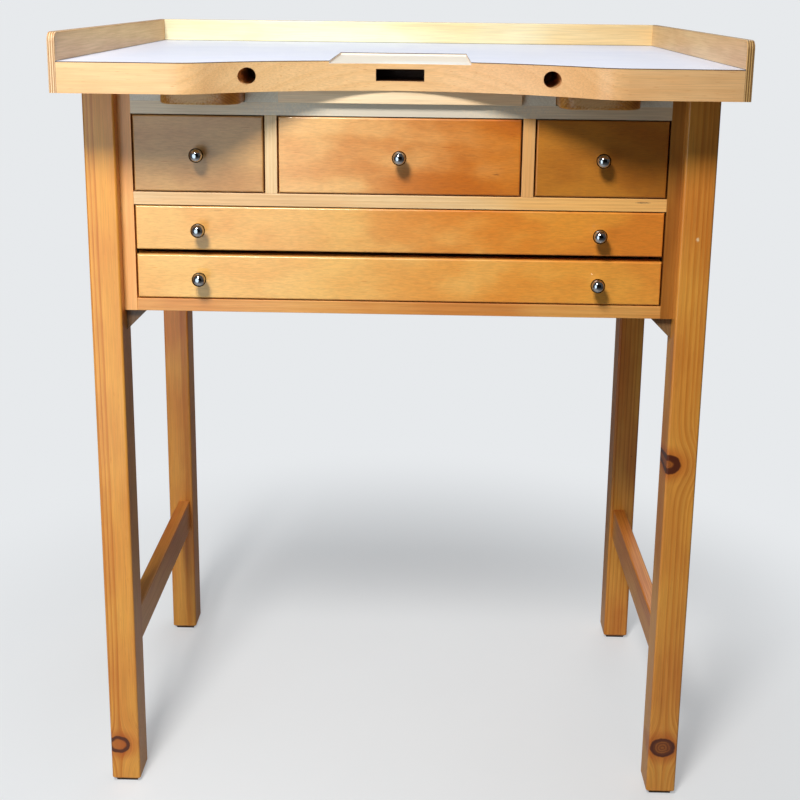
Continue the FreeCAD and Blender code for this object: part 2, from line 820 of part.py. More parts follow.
# -------------------------------------------------------------------- drawers
class Drawer:
    """The stretches of one drawer, and the pieces that fill them."""

    def __init__(self, name, opening, front_z, side_z, knobs, on_runners=False):
        self.name = name
        self.knobs = knobs
        self.on_runners = on_runners
        low, high = opening
        self.front_x = (f"{low} + front_side_gap", f"{high} - front_side_gap")
        self.front_z = front_z
        self.box_x = (f"{low} + box_side_play", f"{high} - box_side_play")
        self.box_y = ("front_back", "drawer_rear")
        self.box_z = side_z
        self.panel_z = (
            f"{side_z[0]} + panel_raise",
            f"{side_z[0]} + panel_raise + panel_thickness",
        )
        self.groove_z = (f"{self.panel_z[0]} - panel_play", f"{self.panel_z[1]} + panel_play")
        self.knob_level = f"(({front_z[0]}) + ({front_z[1]})) / 2"
        self.inner_x = (
            f"{self.box_x[0]} + box_side_thickness",
            f"{self.box_x[1]} - box_side_thickness",
        )
        self.groove_x = (
            f"{self.inner_x[0]} - panel_groove_depth",
            f"{self.inner_x[1]} + panel_groove_depth",
        )

    def make_front(self):
        name = f"{self.name}_front"
        body = new_body(name)
        place(body, "0", "cabinet_front", "0")
        face = sketch_on(body, "XZ_Plane")
        rectangle(face, self.front_x, self.front_z)
        pad(body, face, "front_thickness", backwards=True)
        fillet(body, "front_edge_radius", lambda edge: is_at(edge, "y", "0"))
        holes = sketch_on(body, "XZ_Plane")
        for knob_x in self.knobs:
            circle(holes, knob_x, self.knob_level, "knob_screw_radius + screw_clearance")
        pocket(body, holes, "front_thickness")
        groove = sketch_on(body, "XZ_Plane", "-front_thickness")
        rectangle(groove, self.groove_x, self.groove_z)
        pocket(body, groove, "panel_groove_depth", backwards=True)
        node(body, name)

    def runner_groove(self, side_x, outer_first):
        """The groove in a drawer side that rides on a runner."""
        level = self.knob_level
        depth = "runner_thickness - box_side_play + runner_play"
        x = (
            (f"{side_x[0]} - {TOOL_OVERRUN}", f"{side_x[0]} + {depth}")
            if outer_first
            else (f"{side_x[1]} - ({depth})", f"{side_x[1]} + {TOOL_OVERRUN}")
        )
        z = (
            f"{level} - runner_height / 2 - runner_play",
            f"{level} + runner_height / 2 + slide_play",
        )
        return block("runner_groove", x, self.box_y, z)

    def make_sides(self):
        stretches = (
            (self.box_x[0], self.inner_x[0]),
            (self.inner_x[1], self.box_x[1]),
        )
        grooves = (
            (self.groove_x[0], f"{self.inner_x[0]} + {TOOL_OVERRUN}"),
            (f"{self.inner_x[1]} - {TOOL_OVERRUN}", self.groove_x[1]),
        )
        sides = []
        for side_name, side_x, groove_x in zip(SIDES, stretches, grooves):
            blank = block(f"{self.name}_side_blank", side_x, self.box_y, self.box_z)
            tools = [block("panel_groove", groove_x, self.box_y, self.groove_z)]
            if self.on_runners:
                tools.append(self.runner_groove(side_x, side_name == "left"))
            sides.append(cut(f"{self.name}_{side_name}_side", blank, tools))
        node(group(f"{self.name}_sides", sides), f"{self.name}_sides")

    def make_back(self):
        y = ("drawer_rear - box_back_thickness", "drawer_rear")
        z = (self.panel_z[1], self.box_z[1])
        node(block(f"{self.name}_back", self.inner_x, y, z), f"{self.name}_back")

    def make_bottom(self):
        x = (f"{self.groove_x[0]} + panel_play", f"{self.groove_x[1]} - panel_play")
        y = ("front_back - panel_groove_depth + panel_play", "drawer_rear")
        node(block(f"{self.name}_bottom", x, y, self.panel_z), f"{self.name}_bottom")

    def make_knobs(self):
        plural = "s" if len(self.knobs) > 1 else ""
        centre = "knob_projection - knob_ball_radius"
        neck_end = f"{centre} - (knob_ball_radius ^ 2 - knob_neck_radius ^ 2) ^ 0.5"
        bore = "knob_screw_radius + screw_play"
        section = [
            (bore, "0"),
            ("knob_base_radius", "0"),
            ("knob_base_radius", "knob_base_height"),
            ("knob_neck_radius", "2 * knob_base_height"),
            ("knob_neck_radius", neck_end),
            ("0", "knob_projection", "x"),
            ("0", "knob_bore_depth"),
            (bore, "knob_bore_depth"),
        ]
        screw_section = [
            ("0", "-(front_thickness + knob_screw_head_height)"),
            ("knob_screw_head_radius", "-(front_thickness + knob_screw_head_height)"),
            ("knob_screw_head_radius", "-front_thickness"),
            ("knob_screw_radius", "-front_thickness"),
            ("knob_screw_radius", "knob_screw_reach"),
            ("0", "knob_screw_reach"),
        ]
        knobs = []
        screws = []
        for knob_x in self.knobs:
            at = (knob_x, "cabinet_front", self.knob_level)
            ball = {4: ("0", centre, "left")}
            knobs.append(turned("knob", section, ball, "to_front", at))
            screws.append(turned("knob_screw", screw_section, None, "to_front", at))
        for kind, pieces in (("knob", knobs), ("screw", screws)):
            name = f"{self.name}_{kind}{plural}"
            node(group(name, pieces) if plural else pieces[0], name)

    def make(self):
        self.make_front()
        self.make_sides()
        self.make_back()
        self.make_bottom()
        self.make_knobs()


def make_drawers():
    small_front = ("shelf_high + front_level_gap", "top_low - front_level_gap")
    small_side = ("shelf_high + slide_play", "top_low - box_top_room")
    small_openings = {
        "left": (mirrored(LEFT, "divider_outside", "cabinet_inside"), "-(small_middle)"),
        "centre": (("-(centre_side)", "centre_side"), "0"),
        "right": (mirrored(RIGHT, "divider_outside", "cabinet_inside"), "small_middle"),
    }
    for name, (opening, knob_x) in small_openings.items():
        Drawer(f"{name}_drawer", opening, small_front, small_side, [knob_x]).make()
    wide_opening = ("-(cabinet_inside)", "cabinet_inside")
    for name in ("upper", "lower"):
        front_z = (f"{name}_front_low", f"{name}_front_high")
        side_z = (front_z[0], f"{front_z[1]} - box_top_room")
        knobs = ["-(small_middle)", "small_middle"]
        Drawer(f"{name}_wide_drawer", wide_opening, front_z, side_z, knobs, True).make()


make_worktop_board()
make_worktop_laminate()
make_back_lip()
for name in SIDES:
    make_side_lip(name)
    make_leg("front", name)
    make_leg("rear", name)
    make_stretcher(name)
    make_cabinet_side(name)
    make_arm_guides(name)
    make_arm_rest(name)
make_foot_glides()
make_corner_blocks()
make_leg_bolts()
make_cabinet_boards()
make_wide_drawer_runners()
make_worktop_screws()
make_tray()
make_drawers()
document.recompute()

for thing in document.Objects:
    if "Invalid" in thing.State or "Error" in thing.State:
        raise RuntimeError(f"{thing.Label} failed: {thing.State}")
os.makedirs("parts", exist_ok=True)
for thing in nodes:
    if thing.Shape.isNull() or not thing.Shape.isValid():
        raise RuntimeError(f"{thing.Label} has no valid shape")
    thing.Shape.exportStep(f"parts/{thing.Label}.step")
    print(f"{thing.Label}: {len(thing.Shape.Solids)} solid(s), {thing.Shape.Volume:.0f} mm3")
print(f"{len(nodes)} nodes")
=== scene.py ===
# %% [markdown]
# # A jeweller's bench
# The bench is a small wooden table for one worker. Its top has a concave front edge,
# a white laminate sheet and plywood lips that keep small parts from rolling off. Five
# drawers hang below the top, with two arm rests and a catch tray above them. The solids
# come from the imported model, which is loaded first and never moved.

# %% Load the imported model
from math import pi, radians

import bpy
from mathutils import Matrix, Vector


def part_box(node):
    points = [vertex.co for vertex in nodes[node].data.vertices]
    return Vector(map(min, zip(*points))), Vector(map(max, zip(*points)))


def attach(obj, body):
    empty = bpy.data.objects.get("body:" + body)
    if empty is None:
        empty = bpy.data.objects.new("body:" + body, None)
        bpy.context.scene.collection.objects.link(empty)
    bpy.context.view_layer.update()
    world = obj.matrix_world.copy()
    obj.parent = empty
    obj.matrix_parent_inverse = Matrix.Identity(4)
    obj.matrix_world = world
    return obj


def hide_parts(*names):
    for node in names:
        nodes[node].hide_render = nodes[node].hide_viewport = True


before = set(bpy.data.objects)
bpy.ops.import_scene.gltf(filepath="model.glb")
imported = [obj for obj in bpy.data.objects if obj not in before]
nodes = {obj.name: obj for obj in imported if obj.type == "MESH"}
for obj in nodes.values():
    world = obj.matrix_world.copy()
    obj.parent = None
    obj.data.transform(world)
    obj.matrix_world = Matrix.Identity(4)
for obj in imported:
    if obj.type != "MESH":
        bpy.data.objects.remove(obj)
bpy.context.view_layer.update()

MILLIMETRE = 0.001

# %% [markdown]
# ## The camera
# The bench is seen almost straight from the front. The camera stands eight centimetres
# above the worktop's level and leans down by nearly thirteen degrees, so the legs close
# in towards the floor. A small roll lets the right side hang a little lower.

# %% Camera
CAMERA_PLACE = (0.0328, -1.6865, 1.0746)
CAMERA_YAW = 0.0206
CAMERA_PITCH = 0.2199
CAMERA_ROLL = 0.0114
CAMERA_LENS = 54.56
CAMERA_SHIFT = -0.175

bpy.ops.object.camera_add()
camera = bpy.context.object
camera.data.lens = CAMERA_LENS
camera.data.shift_y = CAMERA_SHIFT
yaw = Matrix.Rotation(CAMERA_YAW, 4, "Z")
pitch = Matrix.Rotation(pi / 2 - CAMERA_PITCH, 4, "X")
roll = Matrix.Rotation(CAMERA_ROLL, 4, "Z")
camera.matrix_world = Matrix.Translation(CAMERA_PLACE) @ yaw @ pitch @ roll
bpy.context.scene.camera = camera
print("camera", round(Vector(CAMERA_PLACE).length, 2), "m from the bench's foot")

# %% [markdown]
# ## Writing node trees
# A shader is a tree of nodes. These helpers add one node each and hand back what it
# puts out, so a material can be read from top to bottom like a recipe.

# %% Helpers for single nodes
COLOUR_FACTOR, COLOUR_A, COLOUR_B, COLOUR_RESULT = 0, 6, 7, 2


def fill_sockets(tree, node, sources):
    """Links each source that is another node's output; sets each plain number or colour."""
    for socket, source in sources.items():
        if isinstance(source, bpy.types.NodeSocket):
            tree.links.new(source, node.inputs[socket])
        else:
            node.inputs[socket].default_value = source


def add_node(tree, kind, sources=None, **settings):
    node = tree.nodes.new(kind)
    for name, setting in settings.items():
        setattr(node, name, setting)
    fill_sockets(tree, node, sources or {})
    return node


def maths(tree, operation, *sources):
    return add_node(tree, "ShaderNodeMath", dict(enumerate(sources)), operation=operation).outputs[0]


def vectors(tree, operation, *sources):
    node = add_node(tree, "ShaderNodeVectorMath", dict(enumerate(sources)), operation=operation)
    return node.outputs["Value" if operation == "LENGTH" else "Vector"]


def scaled(tree, vector, factor):
    sources = {0: vector, "Scale": factor}
    return add_node(tree, "ShaderNodeVectorMath", sources, operation="SCALE").outputs["Vector"]


def between(tree, value, low, high, start=0.0, end=1.0):
    """A smooth step: start up to low, end from high on."""
    sources = {"Value": value, 1: low, 2: high, 3: start, 4: end}
    node = add_node(tree, "ShaderNodeMapRange", sources, interpolation_type="SMOOTHSTEP")
    return node.outputs["Result"]


def noise(tree, vector, scale, detail=2.0, roughness=0.5):
    sources = {"Vector": vector, "Scale": scale, "Detail": detail, "Roughness": roughness}
    return add_node(tree, "ShaderNodeTexNoise", sources)


def blended(tree, factor, first, second, way="MIX"):
    """Mixes two colours; factor 0 is all first and 1 is all second."""
    sources = {COLOUR_FACTOR: factor, COLOUR_A: first, COLOUR_B: second}
    node = add_node(tree, "ShaderNodeMix", sources, data_type="RGBA", blend_type=way)
    return node.outputs[COLOUR_RESULT]


print("node helpers: maths, vectors, steps, noise and mixed colours")

# %% [markdown]
# ## Places, directions and greys
# Most patterns ask two things of a point: where it lies on the piece, and which way the
# surface faces there. A noise has most of its values between 0.3 and 0.7, so that
# stretch is what a smooth step is usually laid over.

# %% Helpers for places and colours
MOST_NOISE = (0.3, 0.7)


def object_place(tree):
    return add_node(tree, "ShaderNodeTexCoord").outputs["Object"]


def facing_way(tree):
    return add_node(tree, "ShaderNodeNewGeometry").outputs["Normal"]


def split_axes(tree, vector):
    return add_node(tree, "ShaderNodeSeparateXYZ", {0: vector}).outputs


def grey(tree, brightness):
    return add_node(tree, "ShaderNodeCombineColor", dict.fromkeys(range(3), brightness)).outputs[0]


def rgb(red, green, blue):
    return (red, green, blue, 1.0)


print("most of a noise lies between", *MOST_NOISE)

# %% [markdown]
# ## Groups and materials
# An effect that several materials share becomes a node group with named inputs and
# outputs. A material has one Principled shader, and it can be opened again later to lay
# something over its colour.

# %% Helpers for groups and materials
def new_group(name, inputs, outputs):
    """An empty node group; inputs are {label: (kind, starting value)}."""
    group = bpy.data.node_groups.new(name, "ShaderNodeTree")
    for label, (kind, start) in inputs.items():
        socket = group.interface.new_socket(label, in_out="INPUT", socket_type=f"NodeSocket{kind}")
        socket.default_value = start
    for label, kind in outputs.items():
        group.interface.new_socket(label, in_out="OUTPUT", socket_type=f"NodeSocket{kind}")
    entry = group.nodes.new("NodeGroupInput").outputs
    leaving = group.nodes.new("NodeGroupOutput").inputs
    return group, entry, leaving


def use_group(tree, group, sources):
    node = tree.nodes.new("ShaderNodeGroup")
    node.node_tree = group
    fill_sockets(tree, node, sources)
    return node.outputs


def new_material(name, **sockets):
    """A material with one Principled shader; sockets hold its plain values."""
    material = bpy.data.materials.new(name)
    material.use_nodes = True
    shader = material.node_tree.nodes["Principled BSDF"]
    for socket, setting in sockets.items():
        shader.inputs[socket.replace("_", " ")].default_value = setting
    return material, material.node_tree, shader


def opened(material):
    """A finished material's tree, its shader, and the colour that goes into the shader."""
    shader = material.node_tree.nodes["Principled BSDF"]
    return material.node_tree, shader, shader.inputs["Base Color"].links[0].from_socket


def add_bump(tree, shader, height, strength, distance):
    bump = add_node(tree, "ShaderNodeBump", {"Height": height, "Strength": strength, "Distance": distance})
    tree.links.new(bump.outputs["Normal"], shader.inputs["Normal"])


def finish_with(material, *names):
    """Gives pieces one material, in place of what they had."""
    for name in names:
        data = bpy.data.objects[name].data
        data.materials.clear()
        data.materials.append(material)


print(len(nodes), "packed pieces wait for a finish")

# %% [markdown]
# ## Wood as a solid texture
# Wood is made of rings around the middle of a trunk. A board is a slice of that trunk,
# so the same rings show as long stripes on a face and as arcs on an end. The group
# below works that way: it measures how far a point lies from the trunk's middle, lets
# that distance wander along the grain, and cuts it into rings. Because it is a pattern
# in space and not on a face, the end of each board matches its sides.

# %% The grain of wood
FIBRE_STRETCH = (18, 700, 700)
CLOUD_STRETCH = (4.5, 14, 14)
SWAY_STRETCH = (1.4, 9, 9)
STREAK_STRETCH = (60, 900, 900)
NOISE_MIDDLE = (0.5, 0.5, 0.5)
ACROSS = (0, 1, 1)

timber, taken, given = new_group(
    "timber",
    {
        "Vector": ("Vector", (0, 0, 0)),
        "Trunk Middle": ("Vector", (0, 0, 0)),
        "Ring Width": ("Float", 0.004),
        "Wander": ("Float", 0.006),
        "Fibre Stretch": ("Vector", FIBRE_STRETCH),
        "Cloud Stretch": ("Vector", CLOUD_STRETCH),
    },
    {"Latewood": "Float", "Fibre": "Float", "Cloud": "Float", "Streak": "Float"},
)
grain_place = taken["Vector"]
slow = noise(timber, vectors(timber, "MULTIPLY", grain_place, SWAY_STRETCH), 1.0)
sway = vectors(timber, "SUBTRACT", slow.outputs["Color"], NOISE_MIDDLE)
swayed = vectors(timber, "ADD", grain_place, scaled(timber, sway, taken["Wander"]))
from_middle = vectors(timber, "SUBTRACT", swayed, taken["Trunk Middle"])
distance = vectors(timber, "LENGTH", vectors(timber, "MULTIPLY", from_middle, ACROSS))
rings = maths(timber, "DIVIDE", distance, taken["Ring Width"])
uneven = add_node(timber, "ShaderNodeTexNoise", {"W": rings, "Scale": 0.45}, noise_dimensions="1D")
rings = maths(timber, "ADD", rings, maths(timber, "MULTIPLY", uneven.outputs["Fac"], 1.6))
share = maths(timber, "FRACT", rings)
rising = between(timber, share, 0.25, 0.88)
falling = between(timber, share, 0.9, 1.0, 1.0, 0.0)
timber.links.new(maths(timber, "MULTIPLY", rising, falling), given["Latewood"])
fibres = noise(timber, vectors(timber, "MULTIPLY", grain_place, taken["Fibre Stretch"]), 1.0, 3.0, 0.6)
timber.links.new(fibres.outputs["Fac"], given["Fibre"])
clouds = noise(timber, vectors(timber, "MULTIPLY", grain_place, taken["Cloud Stretch"]), 1.0, 3.0)
timber.links.new(clouds.outputs["Fac"], given["Cloud"])
streaks = noise(timber, vectors(timber, "MULTIPLY", grain_place, STREAK_STRETCH), 1.0, 1.0)
timber.links.new(between(timber, streaks.outputs["Fac"], 0.66, 0.78), given["Streak"])
print("the timber group has", len(timber.nodes), "nodes")

# %% [markdown]
# ## Knots
# A knot is the root of a branch inside the trunk: a small cone with rings of its own.
# The grain parts in front of it and closes behind it. The group measures the distance
# from the branch, gives masks for its rim and its inside, and moves the place where the
# wood around it is looked up, which bends the grain.

# %% A knot that runs along Y
RAGGEDNESS = (0.0035, 0.0, 0.0035)
KNOT_FLATNESS = (0.83, 0.0, 1.0)
BRANCH_TAPER = 0.12
THINNEST_KNOT = 0.5 * MILLIMETRE
SIDEWAYS = (1.0, 0.0, 0.0)
RIM_SOFTNESS = 0.24
KNOT_RINGS = 4

knot, taken, given = new_group(
    "knot",
    {
        "Vector": ("Vector", (0, 0, 0)),
        "Centre": ("Vector", (0, 0, 0)),
        "Radius": ("Float", 0.01),
        "Rim Start": ("Float", 0.6),
    },
    {"Bent Vector": "Vector", "Inside": "Float", "Rim": "Float", "Halo": "Float", "Rings": "Float"},
)
ragged = noise(knot, taken["Vector"], 130.0)
ragged = vectors(knot, "SUBTRACT", ragged.outputs["Color"], NOISE_MIDDLE)
ragged = vectors(knot, "MULTIPLY", ragged, RAGGEDNESS)
offset = vectors(knot, "SUBTRACT", taken["Vector"], taken["Centre"])
flat = vectors(knot, "MULTIPLY", vectors(knot, "ADD", offset, ragged), KNOT_FLATNESS)
depth = split_axes(knot, offset)["Y"]
taper = maths(knot, "MULTIPLY", maths(knot, "ABSOLUTE", depth), BRANCH_TAPER)
radius = maths(knot, "MAXIMUM", maths(knot, "SUBTRACT", taken["Radius"], taper), THINNEST_KNOT)
reach = maths(knot, "DIVIDE", vectors(knot, "LENGTH", flat), radius)
fading = maths(knot, "MULTIPLY", maths(knot, "MULTIPLY", reach, reach), -0.16)
pull = maths(knot, "MULTIPLY", maths(knot, "EXPONENT", fading), -0.88)
bend = scaled(knot, vectors(knot, "MULTIPLY", offset, SIDEWAYS), pull)
knot.links.new(vectors(knot, "ADD", taken["Vector"], bend), given["Bent Vector"])
knot.links.new(between(knot, reach, 0.88, 1.0, 1.0, 0.0), given["Inside"])
rim_full = maths(knot, "ADD", taken["Rim Start"], RIM_SOFTNESS)
rim_rise = between(knot, reach, taken["Rim Start"], rim_full)
rim_fall = between(knot, reach, 0.98, 1.12, 1.0, 0.0)
knot.links.new(maths(knot, "MULTIPLY", rim_rise, rim_fall), given["Rim"])
knot.links.new(between(knot, reach, 1.0, 2.3, 1.0, 0.0), given["Halo"])
knot.links.new(maths(knot, "FRACT", maths(knot, "MULTIPLY", reach, KNOT_RINGS)), given["Rings"])
print("the knot group has", len(knot.nodes), "nodes and", KNOT_RINGS, "rings to a knot")

# %% [markdown]
# ## Marks
# Real boards have a few single marks: a short dark streak, a small pale scar. One soft
# ellipse with a ragged outline serves for all of them, and also lays painted highlights,
# glare and shade on some pieces.

# %% A single mark
mark, taken, given = new_group(
    "mark",
    {
        "Vector": ("Vector", (0, 0, 0)),
        "Centre": ("Vector", (0, 0, 0)),
        "Half Size": ("Vector", (0.01, 0.01, 0.01)),
    },
    {"Mask": "Float"},
)
offset = vectors(mark, "SUBTRACT", taken["Vector"], taken["Centre"])
offset = vectors(mark, "DIVIDE", offset, taken["Half Size"])
ragged = noise(mark, taken["Vector"], 420.0)
ragged = maths(mark, "MULTIPLY", ragged.outputs["Fac"], 0.9)
reach = maths(mark, "ADD", vectors(mark, "LENGTH", offset), ragged)
mark.links.new(between(mark, reach, 0.7, 1.3, 1.0, 0.0), given["Mask"])
print("the mark group has", len(mark.nodes), "nodes")

# %% [markdown]
# ## One recipe for all the wood
# Every wooden piece is lacquered, so it has two layers: coloured wood below and a clear
# coat above. The recipe takes the direction of the grain, two colours and the place of
# the trunk's middle. Ends of boards soak up more lacquer, so they turn darker and
# duller. The lacquer fills the pores, and only a trace of the fibres is left as bump.

# %% Parts of the wood recipe
GRAIN_FIRST = {"X": "XYZ", "Y": "YXZ", "Z": "ZYX"}
BROWN_RIM = rgb(0.095, 0.018, 0.004)
BROWN_KNOT = rgb(0.12, 0.026, 0.005)


def reordered(tree, vector, order):
    parts = split_axes(tree, vector)
    sources = {place: parts[letter] for place, letter in enumerate(order)}
    return add_node(tree, "ShaderNodeCombineXYZ", sources).outputs[0]


def bend_round_knots(tree, place, knots):
    """Gives the bent place, and each knot's masks with how dark it is inside."""
    knot_masks = []
    for centre, radius, darkness, rim_start in knots:
        sources = {"Vector": place, "Centre": centre, "Radius": radius, "Rim Start": rim_start}
        found = use_group(tree, knot, sources)
        place = found["Bent Vector"]
        knot_masks.append((found, darkness))
    return place, knot_masks


def in_band(tree, place, ring_mask, band):
    """Weakens the stripes outside a stretch of X: (start, end, softness, share left)."""
    low, high, soft, rest = band
    across = split_axes(tree, place)["X"]
    entering = between(tree, across, low - soft, low + soft)
    leaving = between(tree, across, high - soft, high + soft, 1.0, 0.0)
    inside = maths(tree, "MULTIPLY", entering, leaving)
    return maths(tree, "MULTIPLY", ring_mask, between(tree, inside, 0.0, 1.0, rest, 1.0))


def turned(tree, place, cloud, pale, dark, turning):
    """Lets both colours change along X: (start, end, pale at the end, dark at the end)."""
    low, high, pale_end, dark_end = turning
    uneven = between(tree, cloud, *MOST_NOISE, -0.05, 0.05)
    share = between(tree, maths(tree, "ADD", split_axes(tree, place)["X"], uneven), low, high)
    return blended(tree, share, pale, pale_end), blended(tree, share, dark, dark_end)


def darkened(tree, colour, dark, mask, strength):
    mask = maths(tree, "MULTIPLY", mask, strength)
    return blended(tree, mask, colour, dark, "MULTIPLY")


def coloured_knots(tree, colour, dark, knot_masks):
    for found, darkness in knot_masks:
        colour = darkened(tree, colour, dark, found["Halo"], 0.55)
        ringed = between(tree, found["Rings"], 0.2, 0.9, darkness * 0.65, darkness)
        inside = maths(tree, "MULTIPLY", found["Inside"], ringed)
        colour = blended(tree, inside, colour, BROWN_KNOT)
        colour = blended(tree, found["Rim"], colour, BROWN_RIM)
    return colour


print("grain can run along", ", ".join(GRAIN_FIRST))

# %% [markdown]
# ## The recipe put together
# The order is that of the real board. First the tree grew its rings and knots, then
# the board was cut and marked, and last its ends drank the lacquer.

# %% The wood recipe
def wood(name, grain, pale, dark, middle, ring_width=0.004, stripes=0.6, cloudy=0.5,
         wander=0.006, roughness=0.38, coat=0.35, knots=(), marks=(), flecks=0.25,
         band=None, fibre=FIBRE_STRETCH, cloud=CLOUD_STRETCH, turning=None):
    """Lacquered wood whose trunk's middle line goes through the point middle.

    knots are (centre, radius, how dark inside, where the rim starts), and marks are
    (centre, half size, colour, strength)."""
    material, tree, shader = new_material(name, Coat_Weight=coat, Coat_Roughness=0.16)
    place = object_place(tree)
    bent, knot_masks = bend_round_knots(tree, place, knots)
    order = GRAIN_FIRST[grain]
    figure = use_group(tree, timber, {
        "Vector": reordered(tree, bent, order),
        "Trunk Middle": tuple(middle["XYZ".index(letter)] for letter in order),
        "Ring Width": ring_width,
        "Wander": wander,
        "Fibre Stretch": fibre,
        "Cloud Stretch": cloud,
    })
    if turning:
        pale, dark = turned(tree, place, figure["Cloud"], pale, dark, turning)
    ring_mask = maths(tree, "MULTIPLY", figure["Latewood"], stripes)
    if band:
        ring_mask = in_band(tree, bent, ring_mask, band)
    colour = blended(tree, ring_mask, pale, dark)
    colour = darkened(tree, colour, dark, between(tree, figure["Cloud"], 0.36, 0.66), cloudy)
    fibre_tone = between(tree, figure["Fibre"], *MOST_NOISE, 0.9, 1.06)
    colour = blended(tree, 1.0, colour, grey(tree, fibre_tone), "MULTIPLY")
    colour = darkened(tree, colour, dark, figure["Streak"], flecks)
    colour = coloured_knots(tree, colour, dark, knot_masks)
    # Marks are real streaks and scars, and on some pieces painted highlights and painted shade.
    for centre, half_size, tint, strength in marks:
        sources = {"Vector": place, "Centre": centre, "Half Size": half_size}
        mask = use_group(tree, mark, sources)["Mask"]
        colour = blended(tree, maths(tree, "MULTIPLY", mask, strength), colour, tint)
    along = split_axes(tree, facing_way(tree))[grain]
    end = between(tree, maths(tree, "ABSOLUTE", along), 0.55, 0.9)
    tree.links.new(darkened(tree, colour, dark, end, 0.45), shader.inputs["Base Color"])
    rough = between(tree, figure["Fibre"], *MOST_NOISE, roughness + 0.06, roughness - 0.04)
    rough = maths(tree, "ADD", rough, maths(tree, "MULTIPLY", end, 0.2))
    tree.links.new(rough, shader.inputs["Roughness"])
    relief = maths(tree, "ADD", figure["Fibre"], maths(tree, "MULTIPLY", figure["Latewood"], 0.5))
    add_bump(tree, shader, relief, 0.12, 0.0004)
    return material


print("one recipe serves all the wood, with Latewood, Fibre, Cloud and Streak from", timber.name)

# %% [markdown]
# ## The legs
# The four legs are pine, which has strong orange stripes where each year's growth ends,
# and brown knots. Each leg is cut from another place of the trunk, so each one gets its
# own middle line. Two of the front legs' knots lie just above the floor.

# %% Pine legs, rails and blocks
PINE_PALE = rgb(0.79, 0.35, 0.055)
PINE_DARK = rgb(0.61, 0.19, 0.015)
SCAR_PALE = rgb(0.92, 0.68, 0.38)
FRONT_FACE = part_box("front_left_leg")[0].y
REAR_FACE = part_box("rear_left_leg")[1].y

left_leg = wood(
    "pine_front_left", "Z", PINE_PALE, PINE_DARK, (-0.55, 0.12, 0), ring_width=0.0032, stripes=0.85,
    cloudy=0.35, wander=0.008, band=(-0.395, -0.3705, 0.0035, 0.12),
    knots=[((-0.376, FRONT_FACE, 0.058), 0.0123, 0.10, 0.52)],
)
right_leg = wood(
    "pine_front_right", "Z", PINE_PALE, PINE_DARK, (0.62, -0.05, 0), ring_width=0.0058, stripes=0.62,
    cloudy=0.4, wander=0.007, band=(0.359, 0.384, 0.005, 0.25),
    knots=[
        ((0.3665, FRONT_FACE, 0.073), 0.0136, 0.9, 0.60),
        ((0.3500, FRONT_FACE, 0.482), 0.0130, 0.6, 0.28),
    ],
    marks=[((0.369, FRONT_FACE, 0.777), (0.003, 0.004, 0.004), SCAR_PALE, 0.9)],
)
rear_left = wood(
    "pine_rear_left", "Z", PINE_PALE, PINE_DARK, (-0.30, 0.55, 0), ring_width=0.0042, stripes=0.7,
    knots=[((-0.360, REAR_FACE, 0.610), 0.005, 0.5, 0.60)],
)
rear_right = wood(
    "pine_rear_right", "Z", PINE_PALE, PINE_DARK, (0.22, 0.05, 0), ring_width=0.0050, stripes=0.7,
    knots=[((0.378, REAR_FACE, 0.330), 0.005, 0.8, 0.60)],
)
left_rail = wood(
    "pine_left_rail", "Y", PINE_PALE, PINE_DARK, (-0.365, 0, 0.13), ring_width=0.0045, stripes=0.65,
)
right_rail = wood(
    "pine_right_rail", "Y", PINE_PALE, PINE_DARK, (0.30, 0, 0.26), ring_width=0.0038, stripes=0.65,
)
# The corner blocks get painted shade: a dark brown for the shade under the cabinet's bottom.
shaded_block_wood = wood(
    "pine_blocks_painted_shade", "Y", rgb(0.34, 0.20, 0.08), rgb(0.24, 0.12, 0.04), (0.0, 0, 0.60),
    ring_width=0.0036, stripes=0.6,
)
finish_with(left_leg, "front_left_leg")
finish_with(right_leg, "front_right_leg")
finish_with(rear_left, "rear_left_leg")
finish_with(rear_right, "rear_right_leg")
finish_with(left_rail, "left_stretcher")
finish_with(right_rail, "right_stretcher")
finish_with(shaded_block_wood, "corner_blocks")
print("pine:", len(bpy.data.materials), "materials so far")

# %% [markdown]
# ## The worktop's board
# Its front edge is beech: pale, even, with short dark flecks and hardly any rings. The
# bottom of the shallow recess is the same wood, but worn bare and pale by the work.

# %% Beech worktop
RECESS_FLOOR = 0.987
RECESS_HALF_WIDTH = 0.085
SLOT_LEVEL = 0.973
SLOT_HALF_WIDTH = 0.029
SLOT_HALF_HEIGHT = 0.007
BARE_BEECH = rgb(0.95, 0.89, 0.80)
RECESS_GLARE = rgb(1.0, 0.99, 0.96)
SLOT_PAINTED_SHADE = rgb(0.10, 0.035, 0.012)


def within(tree, offset, half_size):
    """One inside a hole of the given half size, and up to 0.2 mm beyond its wall."""
    start = half_size + 0.2 * MILLIMETRE
    return between(tree, maths(tree, "ABSOLUTE", offset), start, start + 0.2 * MILLIMETRE, 1.0, 0.0)


worktop_wood = wood(
    "worktop_beech", "X", rgb(0.84, 0.53, 0.25), rgb(0.72, 0.39, 0.14), (0, 0.2, 0.55), ring_width=0.011,
    stripes=0.25, cloudy=0.3, flecks=0.6, roughness=0.36, coat=0.3,
)
tree, shader, lacquered = opened(worktop_wood)
upright = between(tree, split_axes(tree, facing_way(tree))["Z"], 0.8, 0.95)
place = object_place(tree)
spot = split_axes(tree, place)
wall_low, wall_high = RECESS_HALF_WIDTH - MILLIMETRE, RECESS_HALF_WIDTH + MILLIMETRE
beside = between(tree, maths(tree, "ABSOLUTE", spot["X"]), wall_low, wall_high, 1.0, 0.0)
above_floor = between(tree, spot["Z"], RECESS_FLOOR - 0.6 * MILLIMETRE, RECESS_FLOOR - 0.3 * MILLIMETRE)
in_recess = maths(tree, "MULTIPLY", above_floor, maths(tree, "MAXIMUM", upright, beside))
